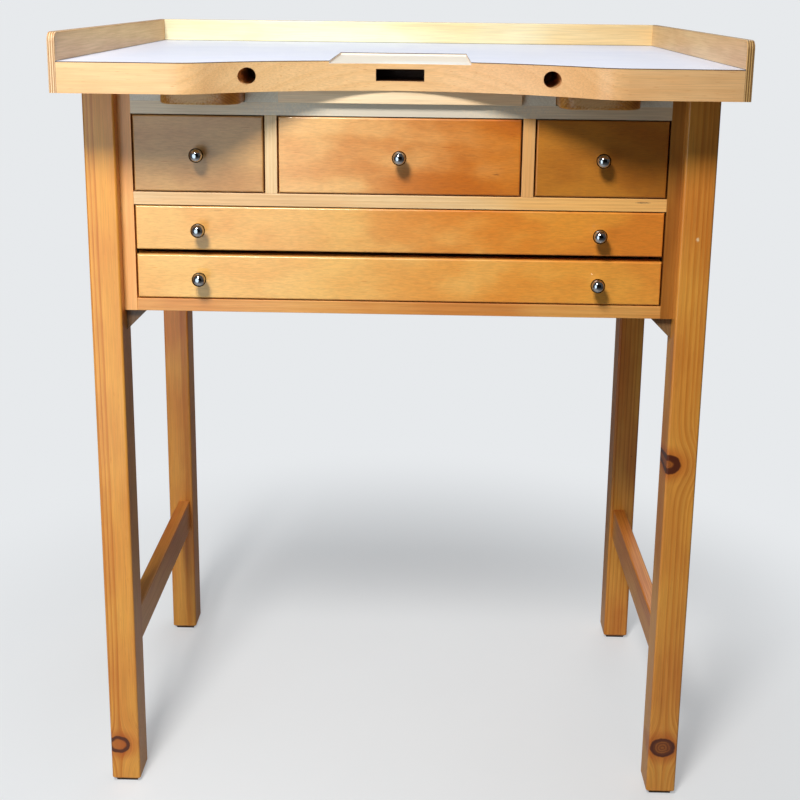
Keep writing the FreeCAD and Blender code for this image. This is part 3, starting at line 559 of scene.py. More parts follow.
worn_and_glare = blended(tree, 0.9, lacquered, BARE_BEECH)
# A whiter patch at the front of the recess floor is a painted glare, a highlight laid into its colour.
glare_place = {"Vector": place, "Centre": (0.03, -0.190, RECESS_FLOOR), "Half Size": (0.10, 0.055, 0.03)}
glare_found = use_group(tree, mark, glare_place)
worn_and_glare = blended(tree, glare_found["Mask"], worn_and_glare, RECESS_GLARE)
topped = blended(tree, in_recess, lacquered, worn_and_glare)
# Inside the slot the colour is painted dark: painted shade, where little light gets in.
slot_width = within(tree, spot["X"], SLOT_HALF_WIDTH)
slot_height = within(tree, maths(tree, "SUBTRACT", spot["Z"], SLOT_LEVEL), SLOT_HALF_HEIGHT)
in_slot = maths(tree, "MULTIPLY", slot_width, slot_height)
tree.links.new(blended(tree, in_slot, topped, SLOT_PAINTED_SHADE), shader.inputs["Base Color"])
finish_with(worktop_wood, "worktop_board")
print("the bare recess is", round(2 * RECESS_HALF_WIDTH / MILLIMETRE), "mm wide")

# %% [markdown]
# ## The laminate
# White laminate is a millimetre of hard plastic sheet. Its face is smooth and faintly
# blue, with fine scratches from years of work. Its core is brown paper, which shows as
# a thin dark line all round the cut edge. The face and the edge are told apart by the
# way that they point.

# %% Laminate
LAMINATE_FACE = rgb(0.77, 0.795, 0.905)
LAMINATE_SOILED = rgb(0.74, 0.765, 0.88)
LAMINATE_CORE = rgb(0.10, 0.065, 0.04)

laminate, tree, shader = new_material("white_laminate", Specular_IOR_Level=0.04)
place = object_place(tree)
soiled = noise(tree, place, 9.0, 4.0, 0.6).outputs["Fac"]
face = blended(tree, between(tree, soiled, 0.4, 0.75), LAMINATE_FACE, LAMINATE_SOILED)
rim = between(tree, split_axes(tree, facing_way(tree))["Z"], 0.3, 0.8, 1.0, 0.0)
tree.links.new(blended(tree, rim, face, LAMINATE_CORE), shader.inputs["Base Color"])
slanted = add_node(tree, "ShaderNodeMapping", {"Vector": place, "Rotation": (0, 0, radians(24))}).outputs[0]
scratched = noise(tree, vectors(tree, "MULTIPLY", slanted, (7, 900, 1)), 1.0).outputs["Fac"]
scratches = between(tree, scratched, 0.63, 0.72)
smooth = between(tree, soiled, 0.3, 0.8, 0.30, 0.42)
rough = maths(tree, "ADD", smooth, maths(tree, "MULTIPLY", scratches, 0.18))
tree.links.new(rough, shader.inputs["Roughness"])
add_bump(tree, shader, scratches, 0.05, 0.0002)
finish_with(laminate, "worktop_laminate")
print("laminate:", len(tree.nodes), "nodes")

# %% [markdown]
# ## The plywood lips
# Plywood is a stack of thin sheets whose grain crosses from one to the next. On its
# faces only the outer sheet shows, as pale birch. On its ends and its top edge all the
# sheets show as light and dark lines, with a thin line of glue between them.

# %% Plies of a board
plies, taken, given = new_group(
    "plies",
    {"Across": ("Float", 0.0), "Ply": ("Float", 0.0013)},
    {"Dark Ply": "Float", "Glue": "Float"},
)
count = maths(plies, "DIVIDE", taken["Across"], taken["Ply"])
parity = maths(plies, "MODULO", maths(plies, "FLOOR", count), 2.0)
plies.links.new(maths(plies, "ABSOLUTE", parity), given["Dark Ply"])
edge = maths(plies, "ABSOLUTE", maths(plies, "SUBTRACT", maths(plies, "FRACT", count), 0.5))
plies.links.new(between(plies, edge, 0.36, 0.48), given["Glue"])
print("the plies group has", len(plies.nodes), "nodes")

# %% [markdown]
# ## Sheets and veneer
# A side that faces across the stack is the outer sheet, and takes the wood recipe with a
# wide faint figure, because a peeled sheet runs almost along the rings. Any other side
# shows the plies. A thin dark line in the corner over the laminate is painted shade.

# %% Birch plywood
PLY_COUNT = 7
BIRCH_PALE = rgb(0.86, 0.58, 0.29)
BIRCH_DARK = rgb(0.70, 0.40, 0.15)
SHEET_TONES = (rgb(0.84, 0.58, 0.33), rgb(0.46, 0.22, 0.08))
GLUE = rgb(0.16, 0.07, 0.025)
CORNER_SHADE = rgb(0.13, 0.10, 0.08)
INNER_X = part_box("right_lip")[0].x + MILLIMETRE / 2
INNER_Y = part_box("back_lip")[0].y + MILLIMETRE / 2
LAMINATE_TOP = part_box("worktop_laminate")[1].z


def corner_shade_mask(tree, place):
    """The line of painted shade on the lips' inner sides, just above the laminate."""
    spot = split_axes(tree, place)
    between_lips = maths(tree, "LESS_THAN", maths(tree, "ABSOLUTE", spot["X"]), INNER_X)
    inner_side = maths(tree, "MULTIPLY", between_lips, maths(tree, "LESS_THAN", spot["Y"], INNER_Y))
    height = maths(tree, "SUBTRACT", spot["Z"], LAMINATE_TOP)
    return maths(tree, "MULTIPLY", inner_side, between(tree, height, 0.0004, 0.0012, 0.85, 0.0))


def plywood(name, stack, grain, start, thickness, middle, pale=BIRCH_PALE, dark=BIRCH_DARK,
            turning=None, sheet_tones=SHEET_TONES):
    """Birch plywood; stack is the axis across its sheets, which begin at start."""
    material = wood(name, grain, pale, dark, middle, ring_width=0.02, stripes=0.3, cloudy=0.45,
                    wander=0.05, flecks=0.35, roughness=0.4, coat=0.25, turning=turning)
    tree, shader, veneer = opened(material)
    place = object_place(tree)
    depth = maths(tree, "SUBTRACT", split_axes(tree, place)[stack], start)
    found = use_group(tree, plies, {"Across": depth, "Ply": thickness / PLY_COUNT})
    sheets = blended(tree, found["Dark Ply"], *sheet_tones)
    sheets = blended(tree, maths(tree, "MULTIPLY", found["Glue"], 0.7), sheets, GLUE)
    across = maths(tree, "ABSOLUTE", split_axes(tree, facing_way(tree))[stack])
    colour = blended(tree, between(tree, across, 0.5, 0.75), sheets, veneer)
    tree.links.new(blended(tree, corner_shade_mask(tree, place), colour, CORNER_SHADE), shader.inputs["Base Color"])
    return material


# The left lip's tones are darker than the others: painted shade on its inner side, which faces away from the
# lamp.
shaded_lip_tones = {"pale": rgb(0.76, 0.46, 0.19), "dark": rgb(0.62, 0.32, 0.10)}
golden = {"sheet_tones": (rgb(0.62, 0.38, 0.13), rgb(0.22, 0.10, 0.025))}
# Painted light: the back lip is painted bright, as if in strong light, fading from left to right.
painted_bright_tones = {
    "pale": rgb(0.97, 0.93, 0.64),
    "dark": rgb(0.94, 0.82, 0.48),
    "turning": (-0.10, 0.38, rgb(0.95, 0.78, 0.46), rgb(0.92, 0.68, 0.34)),
}
lips = {
    "left_lip": ("X", "Y", shaded_lip_tones),
    "right_lip": ("X", "Y", golden),
    "back_lip": ("Y", "X", painted_bright_tones),
}
for lip, (stack, grain, tones) in lips.items():
    low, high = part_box(lip)
    stack_axis = "XYZ".index(stack)
    thickness = high[stack_axis] - low[stack_axis]
    middle = (low.x + 0.3, low.y + 0.25, 0.7)
    ply_wood = plywood(f"{lip}_plywood", stack, grain, low[stack_axis], thickness, middle, **tones)
    finish_with(ply_wood, lip)
    print(lip, "has", PLY_COUNT, "plies of", round(thickness / PLY_COUNT / MILLIMETRE, 2), "mm")

# %% [markdown]
# ## The rear of the back lip
# The back lip's pale yellow inner side is painted light, paler at the left than at the
# right. Its rear stays browner, so a tint is laid over every part of it that faces away
# from the worker.

# %% Tint the back lip's rear
REAR_TINT = rgb(0.89, 0.63, 0.46)

tree, shader, bright = opened(ply_wood)
away = between(tree, split_axes(tree, facing_way(tree))["Y"], 0.3, 0.7)
tree.links.new(blended(tree, away, bright, REAR_TINT, "MULTIPLY"), shader.inputs["Base Color"])
print(ply_wood.name, "is browner at the rear")

# %% [markdown]
# ## The cabinet
# The boards that lie between the drawers are pale birch. The cabinet's two sides and its
# bottom are redder, and the tray's front and the strips beside the arm rests are pale.
# The left side is painted lighter and the right side darker: painted light and shade.
# From the front, all of them show only narrow edges.

# %% Cabinet boards
PALE_BOARD = (rgb(0.84, 0.58, 0.30), rgb(0.73, 0.44, 0.18))
HONEY_BOARD = (rgb(0.78, 0.38, 0.10), rgb(0.66, 0.28, 0.05))
SPLIT = rgb(0.20, 0.11, 0.05)
PAINTED_TRAY_SHADOW = rgb(0.64, 0.57, 0.46)

board_tones_and_painted_light = {
    "cabinet_top": (rgb(0.86, 0.72, 0.52), rgb(0.76, 0.60, 0.40)),
    "right_divider": (rgb(0.84, 0.50, 0.20), rgb(0.73, 0.38, 0.11)),
    "tray_front": (rgb(0.96, 0.74, 0.48), rgb(0.87, 0.62, 0.36)),
    # The two sides are a lit and a shaded copy of one wood: painted shade on the right side, painted light on
    # the left.
    "cabinet_right_side": (rgb(0.49, 0.20, 0.03), rgb(0.39, 0.135, 0.014)),
    "cabinet_left_side": (rgb(0.92, 0.51, 0.17), rgb(0.82, 0.42, 0.12)),
}
shelf_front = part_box("cabinet_shelf")[0]
top_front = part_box("cabinet_top")[0]
marks_and_painted_shade = {
    "cabinet_shelf": [((0.302, shelf_front.y, shelf_front.z + 0.0115), (0.014, 0.01, 0.0016), SPLIT, 0.75)],
    # Painted shade: a grey patch across the middle of the top's front strip, for the shadow of the tray's
    # front.
    "cabinet_top": [((0.0, top_front.y, top_front.z + 0.008), (0.25, 0.03, 0.05), PAINTED_TRAY_SHADOW, 0.85)],
}
shelf_turning = (0.0, 0.30, rgb(0.95, 0.60, 0.22), rgb(0.86, 0.48, 0.14))

birch_boards = {"cabinet_top": "X", "cabinet_shelf": "X", "left_divider": "Z", "right_divider": "Z"}
for node, grain in birch_boards.items():
    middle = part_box(node)[0] + Vector((0.05, 0.02, -0.12))
    turning = shelf_turning if node == "cabinet_shelf" else None
    finish = wood(f"{node}_birch", grain, *board_tones_and_painted_light.get(node, PALE_BOARD), middle, ring_width=0.005,
                  stripes=0.4, cloudy=0.35, marks=marks_and_painted_shade.get(node, ()), turning=turning)
    finish_with(finish, node)
outer_boards = {"cabinet_left_side": "Z", "cabinet_right_side": "Z", "cabinet_bottom": "X", "tray_front": "X"}
for node, grain in outer_boards.items():
    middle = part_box(node)[0] + Vector((0.1, -0.08, -0.1))
    finish = wood(f"{node}_wood", grain, *board_tones_and_painted_light.get(node, HONEY_BOARD), middle, ring_width=0.006,
                  stripes=0.4)
    finish_with(finish, node)
guide_wood = wood("guide_wood", "Y", rgb(0.92, 0.90, 0.82), rgb(0.84, 0.80, 0.70), (0, 0, 0.8),
                  ring_width=0.005, stripes=0.4, coat=0.1, roughness=0.5)
finish_with(guide_wood, "left_arm_guides", "right_arm_guides", "wide_drawer_runners")
print(len(birch_boards), "birch boards and", len(outer_boards), "outer boards")

# %% [markdown]
# ## The drawer fronts
# They are honey-coloured under a glossy lacquer, with soft clouds that run from yellow
# to orange and a few short dark streaks. No two fronts are alike, so each one has its
# own colours and its own place in the trunk. Those colours are partly painted shade:
# the small side drawers are darker, and three fronts turn redder and darker to the right.

# %% Drawer fronts
STREAK = rgb(0.30, 0.10, 0.02)
FRONT_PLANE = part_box("centre_drawer_front")[0].y
# Partly painted shade: the side drawers' darker tones and the turnings to darker red at the right.
front_tones = {
    "left_drawer": (rgb(0.62, 0.33, 0.11), rgb(0.53, 0.26, 0.07), 0.35, None),
    "centre_drawer": (
        rgb(0.82, 0.46, 0.17), rgb(0.74, 0.37, 0.10), 0.35,
        (-0.13, 0.14, rgb(0.64, 0.205, 0.02), rgb(0.55, 0.145, 0.01)),
    ),
    "right_drawer": (rgb(0.53, 0.20, 0.022), rgb(0.46, 0.15, 0.013), 0.35, None),
    "upper_wide_drawer": (
        rgb(0.83, 0.45, 0.13), rgb(0.76, 0.37, 0.085), 0.35,
        (-0.05, 0.18, rgb(0.80, 0.31, 0.038), rgb(0.71, 0.24, 0.022)),
    ),
    "lower_wide_drawer": (
        rgb(0.86, 0.48, 0.135), rgb(0.80, 0.41, 0.09), 0.3,
        (-0.05, 0.22, rgb(0.85, 0.37, 0.055), rgb(0.77, 0.29, 0.035)),
    ),
}
streaks_at = {
    "centre_drawer": [
        ((0.120, FRONT_PLANE, 0.852), (0.008, 0.01, 0.0016), STREAK, 0.8),
        ((0.088, FRONT_PLANE, 0.875), (0.014, 0.01, 0.0022), STREAK, 0.35),
    ],
    "upper_wide_drawer": [((-0.225, FRONT_PLANE, 0.802), (0.012, 0.01, 0.0015), STREAK, 0.3)],
}
for number, (drawer, (pale, dark, cloudy, turning)) in enumerate(front_tones.items()):
    middle = (0.15 * number, 0.4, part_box(f"{drawer}_front")[0].z - 0.25)
    finish = wood(f"{drawer}_lacquered", "X", pale, dark, middle, ring_width=0.024, stripes=0.16,
                  cloudy=cloudy, wander=0.06, roughness=0.34, coat=0.5, flecks=0.5,
                  marks=streaks_at.get(drawer, ()), fibre=(110, 650, 650), cloud=(9, 17, 17), turning=turning)
    finish_with(finish, f"{drawer}_front")
print(len(front_tones), "drawer fronts, with streaks on", len(streaks_at))

# %% [markdown]
# ## Inside the drawers
# The drawer boxes are plain beech, and their bottoms thin plywood. Nobody lacquers the
# inside of a drawer, so these surfaces are dull. The cabinet's back is the same sheet.

# %% Drawer boxes, bottoms and the cabinet's back
BOX_BEECH = (rgb(0.82, 0.62, 0.40), rgb(0.68, 0.46, 0.25))
box_look = {"ring_width": 0.007, "stripes": 0.3, "flecks": 0.5, "coat": 0.0, "roughness": 0.6}
box_wood = wood("box_beech", "Y", *BOX_BEECH, (0.1, 0, 0.6), **box_look)
box_back_wood = wood("box_back_beech", "X", *BOX_BEECH, (0, 0.1, 0.6), **box_look)
panel_wood = wood("panel_birch", "X", rgb(0.80, 0.60, 0.36), rgb(0.66, 0.42, 0.20), (0, 0.9, 0.4),
                  ring_width=0.03, stripes=0.35, wander=0.09, coat=0.0, roughness=0.55)
for drawer in front_tones:
    finish_with(box_wood, f"{drawer}_sides")
    finish_with(box_back_wood, f"{drawer}_back")
    finish_with(panel_wood, f"{drawer}_bottom")
finish_with(panel_wood, "cabinet_back")
print("the cabinet's back and", len(front_tones), "bottoms are of one sheet")

# %% [markdown]
# ## The arm rests
# They are darker, because hands and sleeves have oiled them for years. Their front ends
# cut across the grain, so they show the ends of the rings and look darker still, apart
# from a paler spot at the left, which is a painted highlight.

# %% Arm rests
OILED = (rgb(0.76, 0.40, 0.055), rgb(0.50, 0.19, 0.014))
PAINTED_HIGHLIGHT = rgb(1.0, 0.86, 0.50)

arm_rests = ("left_arm_rest", "right_arm_rest")
for node in arm_rests:
    low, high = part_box(node)
    middle = ((low.x + high.x) / 2 + 0.01, 0, low.z - 0.03)
    # A painted highlight: a pale spot at the left of each front end.
    highlight_spot = ((low.x + 0.040, low.y, low.z + 0.010), (0.050, 0.03, 0.016), PAINTED_HIGHLIGHT, 0.6)
    finish = wood(f"{node}_oiled", "Y", *OILED, middle, ring_width=0.0034, roughness=0.42, coat=0.3,
                  marks=[highlight_spot])
    finish_with(finish, node)
print("oiled:", ", ".join(arm_rests))

# %% [markdown]
# ## Metal and felt
# The tray is folded from sheet aluminium with a brushed face: long fine lines that
# change how rough the metal is. Screws and bolts are zinc plated. The feet stand on
# dark felt, which is nothing but tangled fibres, so noise gives both colour and bump.

# %% Brushed aluminium, steel and felt
def brushed(name, base, stretch, roughness):
    """Metal with fine lines; stretch is how strongly the lines follow each axis."""
    material, tree, shader = new_material(name, Metallic=1.0)
    place = object_place(tree)
    lines = noise(tree, vectors(tree, "MULTIPLY", place, stretch), 1.0, 3.0).outputs["Fac"]
    dull = noise(tree, place, 40.0, 3.0).outputs["Fac"]
    shade = grey(tree, between(tree, dull, *MOST_NOISE, 0.82, 1.0))
    tree.links.new(blended(tree, 1.0, base, shade, "MULTIPLY"), shader.inputs["Base Color"])
    lined = between(tree, lines, *MOST_NOISE, roughness - 0.1, roughness + 0.1)
    tree.links.new(lined, shader.inputs["Roughness"])
    add_bump(tree, shader, lines, 0.06, 0.0002)
    return material


finish_with(brushed("tray_aluminium", rgb(0.72, 0.73, 0.74), (2500, 12, 12), 0.36), "tray_pan")
zinc = brushed("zinc_steel", rgb(0.58, 0.58, 0.60), (900, 900, 900), 0.34)

FELT_DARK = rgb(0.016, 0.013, 0.010)
FELT_PALE = rgb(0.06, 0.05, 0.042)
felt, tree, shader = new_material("foot_felt", Roughness=0.95)
tangle = noise(tree, object_place(tree), 1400.0, 4.0, 0.7).outputs["Fac"]
tree.links.new(blended(tree, tangle, FELT_DARK, FELT_PALE), shader.inputs["Base Color"])
add_bump(tree, shader, tangle, 0.6, 0.0005)
finish_with(felt, "foot_glides")
print("metals and felt: tray_aluminium,", zinc.name, "and", felt.name)

# %% [markdown]
# ## Soft edges
# No sawn edge stays perfectly sharp: sandpaper and lacquer round it by about half a
# millimetre, and that narrow curve catches the light. A bevel modifier does this to the
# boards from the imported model. Their triangles are loose, so a weld modifier joins them
# first, and a planar dissolve turns each flat side into one face. Modifiers leave the
# mesh itself as it is.

# %% Round the boards' edges
EDGE_RADIUS = 0.6 * MILLIMETRE
WELD_DISTANCE = 0.01 * MILLIMETRE
FLAT_ANGLE = radians(1)
SHARP_ANGLE = radians(40)


def soften(board, radius, segments):
    weld = board.modifiers.new("Weld", "WELD")
    weld.merge_threshold = WELD_DISTANCE
    flat = board.modifiers.new("Flat Faces", "DECIMATE")
    flat.decimate_type = "DISSOLVE"
    flat.angle_limit = FLAT_ANGLE
    bevel = board.modifiers.new("Bevel", "BEVEL")
    bevel.width = radius
    bevel.segments = segments
    bevel.limit_method = "ANGLE"
    bevel.angle_limit = SHARP_ANGLE


boards = [*birch_boards, *outer_boards, "cabinet_back", "left_arm_guides", "right_arm_guides"]
boards += ["wide_drawer_runners", "corner_blocks", "foot_glides"]
boards += [f"{drawer}_{part}" for drawer in front_tones for part in ("sides", "back", "bottom")]
for name in boards:
    soften(bpy.data.objects[name], EDGE_RADIUS, 2)
print(len(boards), "boards have softened edges")

# %% [markdown]
# ## Rounded arm rests
# The worker leans on these two all day, so their edges are rounded much further. The
# wide bevel leaves a few triangles without any area, and a last weld removes them.

# %% Round the arm rests
ARM_REST_ROUND = 5 * MILLIMETRE

for name in arm_rests:
    board = bpy.data.objects[name]
    soften(board, ARM_REST_ROUND, 5)
    joined = board.modifiers.new("Join Corners", "WELD")
    joined.merge_threshold = WELD_DISTANCE
print("arm rests are rounded by", ARM_REST_ROUND / MILLIMETRE, "mm")

# %% [markdown]
# ## Helpers for modelling
# New pieces are modelled as by hand: add a primitive, go into edit mode, select by
# place, and extrude. Edit mode acts on all that is selected, so everything is
# deselected first. A finished piece has its place in its mesh and its object at the
# origin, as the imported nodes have.

# %% Helpers for modelling
def start_piece():
    """Deselects everything, since edit mode acts on all that is selected."""
    bpy.ops.object.select_all(action="DESELECT")


def pick(piece, wanted, kind="VERT"):
    """In edit mode, selects the vertices or faces that pass a test, and nothing else."""
    bpy.ops.mesh.select_mode(type=kind)
    bpy.ops.mesh.select_all(action="DESELECT")
    bpy.ops.object.mode_set(mode="OBJECT")
    parts = piece.data.vertices if kind == "VERT" else piece.data.polygons
    for part in parts:
        part.select = wanted(part)
    bpy.ops.object.mode_set(mode="EDIT")


def solids_of(name):
    """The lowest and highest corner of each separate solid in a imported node."""
    start_piece()
    whole = bpy.data.objects.new("measuring", nodes[name].data.copy())
    bpy.context.collection.objects.link(whole)
    whole.select_set(True)
    bpy.context.view_layer.objects.active = whole
    bpy.ops.object.mode_set(mode="EDIT")
    bpy.ops.mesh.select_all(action="SELECT")
    bpy.ops.mesh.remove_doubles(threshold=WELD_DISTANCE)
    bpy.ops.mesh.separate(type="LOOSE")
    bpy.ops.object.mode_set(mode="OBJECT")
    corners = []
    for solid in list(bpy.context.selected_objects):
        spots = [vertex.co for vertex in solid.data.vertices]
        low = Vector(min(spot[axis] for spot in spots) for axis in range(3))
        high = Vector(max(spot[axis] for spot in spots) for axis in range(3))
        corners.append((low, high))
        bpy.data.objects.remove(solid)
    return sorted(corners, key=lambda pair: tuple(pair[0]))


def copy_piece(master, name, turn, place):
    """A copy of a modelled piece with its own mesh, turned and then moved to its place."""
    piece = bpy.data.objects.new(name, master.data.copy())
    bpy.context.collection.objects.link(piece)
    piece.data.transform(Matrix.Translation(place) @ turn)
    return piece


# %% [markdown]
# ## Chrome
# The knobs are turned from brass and chromed. Chrome has hardly any colour of its own, so
# its roughness is kept very low, with smears left by fingers. Where it slants away from
# the eye it mirrors the dark room, so its rim is painted nearly black.

# %% Chrome
CHROME_BRIGHT = rgb(0.66, 0.67, 0.69)
CHROME_SMEARED = rgb(0.54, 0.55, 0.57)
CHROME_RIM = rgb(0.07, 0.07, 0.075)

chrome, tree, shader = new_material("knob_chrome", Metallic=1.0, Specular_Tint=rgb(0.15, 0.15, 0.16))
smears = noise(tree, object_place(tree), 260.0, 4.0, 0.65).outputs["Fac"]
polish = blended(tree, between(tree, smears, 0.4, 0.8), CHROME_BRIGHT, CHROME_SMEARED)
slanting = add_node(tree, "ShaderNodeLayerWeight", {"Blend": 0.5}).outputs["Facing"]
polish = blended(tree, between(tree, slanting, 0.34, 0.62), polish, CHROME_RIM)
tree.links.new(polish, shader.inputs["Base Color"])
tree.links.new(between(tree, smears, 0.35, 0.8, 0.05, 0.14), shader.inputs["Roughness"])
print("chrome:", len(tree.nodes), "nodes")

# %% [markdown]
# ## One knob
# Each knob is a ball on a slim neck, with a small flange where it meets the wood. It
# starts as a sphere whose poles lie along Y. The cap at the back is cut away, and the
# open edge is extruded into the neck and then out into the flange.

# %% Model one knob
knob_low, knob_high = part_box("centre_drawer_knob")
BALL_RADIUS = (knob_high.z - knob_low.z) / 2
KNOB_LENGTH = knob_high.y - knob_low.y
BALL_CENTRE = BALL_RADIUS - KNOB_LENGTH
NECK_RADIUS = 3.5 * MILLIMETRE
NECK_ENDS = (-4.6 * MILLIMETRE, -2.4 * MILLIMETRE)
FLANGE_RADIUS = 5 * MILLIMETRE
FLANGE_TOP = -1.5 * MILLIMETRE
ROUNDED = 0.25 * MILLIMETRE
SMOOTH_ANGLE = radians(50)


def ring_size(piece):
    """In edit mode, the radius of the selected ring about Y, and its place along Y."""
    bpy.ops.object.mode_set(mode="OBJECT")
    spots = [vertex.co for vertex in piece.data.vertices if vertex.select]
    bpy.ops.object.mode_set(mode="EDIT")
    return max(from_axis(spot) for spot in spots), spots[0].y


def from_axis(spot):
    return Vector((spot.x, spot.z)).length


def extrude_ring(piece, radius, height):
    """Extrudes the selected ring to a new radius and a new place along Y."""
    old_radius, old_height = ring_size(piece)
    growth = radius / old_radius
    bpy.ops.mesh.extrude_region_move(TRANSFORM_OT_translate={"value": (0, height - old_height, 0)})
    bpy.ops.transform.resize(value=(growth, 1, growth), center_override=(0, height, 0))


start_piece()
bpy.ops.mesh.primitive_uv_sphere_add(
    segments=48, ring_count=36, radius=BALL_RADIUS, location=(0, BALL_CENTRE, 0), rotation=(pi / 2, 0, 0)
)
knob_master = bpy.context.object
bpy.ops.object.transform_apply(location=True, rotation=True, scale=True)
bpy.ops.object.mode_set(mode="EDIT")
pick(knob_master, lambda spot: spot.co.y > BALL_CENTRE and from_axis(spot.co) < NECK_RADIUS)
bpy.ops.mesh.delete(type="VERT")
bpy.ops.mesh.select_all(action="SELECT")
bpy.ops.mesh.region_to_loop()
for radius, height in (
    (NECK_RADIUS, NECK_ENDS[0]),
    (NECK_RADIUS, NECK_ENDS[1]),
    (NECK_RADIUS + ROUNDED, FLANGE_TOP - ROUNDED),
    (NECK_RADIUS + 3 * ROUNDED, FLANGE_TOP),
    (FLANGE_RADIUS - ROUNDED, FLANGE_TOP),
    (FLANGE_RADIUS, FLANGE_TOP + ROUNDED),
    (FLANGE_RADIUS, 0),
):
    extrude_ring(knob_master, radius, height)
bpy.ops.mesh.edge_face_add()
bpy.ops.mesh.select_all(action="SELECT")
bpy.ops.mesh.normals_make_consistent(inside=False)
bpy.ops.object.mode_set(mode="OBJECT")
bpy.ops.object.shade_smooth_by_angle(angle=SMOOTH_ANGLE)
knob_master.data.materials.append(chrome)
print("a knob is", round(2 * BALL_RADIUS / MILLIMETRE, 1), "mm across")

# %% [markdown]
# ## A knob on every drawer
# The small drawers have one knob and the wide ones two. A copy goes to each solid of the
# packed knob nodes, takes its place in the picture, and moves with its drawer.

# %% Copy the knob to all drawers
STRAIGHT = Matrix.Identity(4)
knob_nodes = [node for node in sorted(nodes) if node.endswith(("_knob", "_knobs"))]
for node in knob_nodes:
    body = node.rsplit("_", 1)[0]
    for number, (low, high) in enumerate(solids_of(node), start=1):
        seat = ((low.x + high.x) / 2, high.y, (low.z + high.z) / 2)
        ball = copy_piece(knob_master, f"{body}_ball_{number}", STRAIGHT, seat)
        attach(ball, body)
        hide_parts(node)
bpy.data.objects.remove(knob_master)
print("knobs on", len(knob_nodes), "drawers")

# %% [markdown]
# ## Screws and bolts
# Behind each knob sits the screw that holds it, seen when a drawer is open. The legs are
# bolted on from inside the cabinet, and screws go up into the worktop. All have a low
# rounded head. A socket is cut into it with a boolean modifier: six-sided in the bolts
# and cross-shaped in the screws. Both are sized as shares of the head.

# %% Model a screw
TIP_SHARE = 0.4
HEAD_ROUNDING = 0.45
SOCKET_DEPTH = 1.2
HEX_RADIUS = 0.42
CROSS_LENGTH = 1.1
CROSS_WIDTH = 0.24


def socket_cutters(head_height, head_radius, drive):
    depth = head_height * SOCKET_DEPTH
    place = (0, 0, -head_height)
    if drive == "hex":
        radius = head_radius * HEX_RADIUS
        bpy.ops.mesh.primitive_cylinder_add(vertices=6, radius=radius, depth=depth, location=place)
        return [bpy.context.object]
    cutters = []
    arm = (head_radius * CROSS_LENGTH, head_radius * CROSS_WIDTH, depth)
    for turn in (0, pi / 2):
        bpy.ops.mesh.primitive_cube_add(size=1, location=place, rotation=(0, 0, turn), scale=arm)
        cutters.append(bpy.context.object)
    return cutters


def cut_socket(screw, head_height, head_radius, drive):
    cutters = socket_cutters(head_height, head_radius, drive)
    for cutter in cutters:
        cut = screw.modifiers.new("Socket", "BOOLEAN")
        cut.operation = "DIFFERENCE"
        cut.solver = "EXACT"
        cut.object = cutter
    start_piece()
    bpy.context.view_layer.objects.active = screw
    screw.select_set(True)
    for cut in list(screw.modifiers):
        bpy.ops.object.modifier_apply(modifier=cut.name)
    for cutter in cutters:
        bpy.data.objects.remove(cutter)


def make_screw(name, length, head_height, head_radius, shank_radius, drive):
    """A screw that points along +Z from its head's underside at the origin."""
    start_piece()
    bpy.ops.mesh.primitive_cylinder_add(
        vertices=40, radius=head_radius, depth=head_height, location=(0, 0, -head_height / 2)
    )
    screw = bpy.context.object
    screw.name = name
    bpy.ops.object.transform_apply(location=True, rotation=True, scale=True)
    bpy.ops.object.mode_set(mode="EDIT")
    pick(screw, lambda face: face.normal.z > 0.9, "FACE")
    bpy.ops.mesh.inset(thickness=head_radius - shank_radius, depth=0)
    for step in (length - head_height - shank_radius, shank_radius):
        bpy.ops.mesh.extrude_region_move(TRANSFORM_OT_translate={"value": (0, 0, step)})
    bpy.ops.transform.resize(value=(TIP_SHARE, TIP_SHARE, 1))
    pick(screw, lambda spot: spot.co.z < -head_height + MILLIMETRE / 10)
    bpy.ops.mesh.bevel(offset=head_height * HEAD_ROUNDING, segments=4, affect="EDGES")
    bpy.ops.object.mode_set(mode="OBJECT")
    cut_socket(screw, head_height, head_radius, drive)
    bpy.ops.object.shade_smooth_by_angle(angle=radians(35))
    screw.data.materials.append(zinc)
    return screw


print("a socket is", SOCKET_DEPTH / 2, "of its head deep")

# %% [markdown]
# ## The screws in place
# Each kind of screw is modelled once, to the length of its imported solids, and copied to
# every one of them. The leg bolts point outwards, the worktop's screws up, and the knob
# screws towards the worker.

# %% Put the screws and bolts in place
POINTING = {
    "X": Matrix.Rotation(pi / 2, 4, "Y"),
    "-X": Matrix.Rotation(-pi / 2, 4, "Y"),
    "-Y": Matrix.Rotation(pi / 2, 4, "X"),
    "Z": Matrix.Identity(4),
}


def screw_size(head_height, head_radius, shank_radius, drive):
    """The sizes of a screw, given in millimetres."""
    return {
        "head_height": head_height * MILLIMETRE,
        "head_radius": head_radius * MILLIMETRE,
        "shank_radius": shank_radius * MILLIMETRE,
        "drive": drive,
    }


def place_screws(node, body, name, axis_name, way, size):
    """Models one screw to a node's size and copies it to each of the node's solids."""
    axis = "XYZ".index(axis_name)
    solids = solids_of(node)
    first_low, first_high = solids[0]
    master = make_screw(name, first_high[axis] - first_low[axis], **size)
    for number, (low, high) in enumerate(solids, start=1):
        seat = (low + high) / 2
        direction = way(seat)
        if direction.startswith("-"):
            seat[axis] = high[axis] - size["head_height"]
        else:
            seat[axis] = low[axis] + size["head_height"]
        piece = copy_piece(master, f"{name}_{number}", POINTING[direction], seat)
        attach(piece, body)
        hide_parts(node)
    bpy.data.objects.remove(master)
    return len(solids)


BOLT = screw_size(3, 8, 4, "hex")
WORKTOP_SCREW = screw_size(2.5, 4.5, 2.5, "cross")
KNOB_SCREW = screw_size(2.4, 4, 2, "cross")

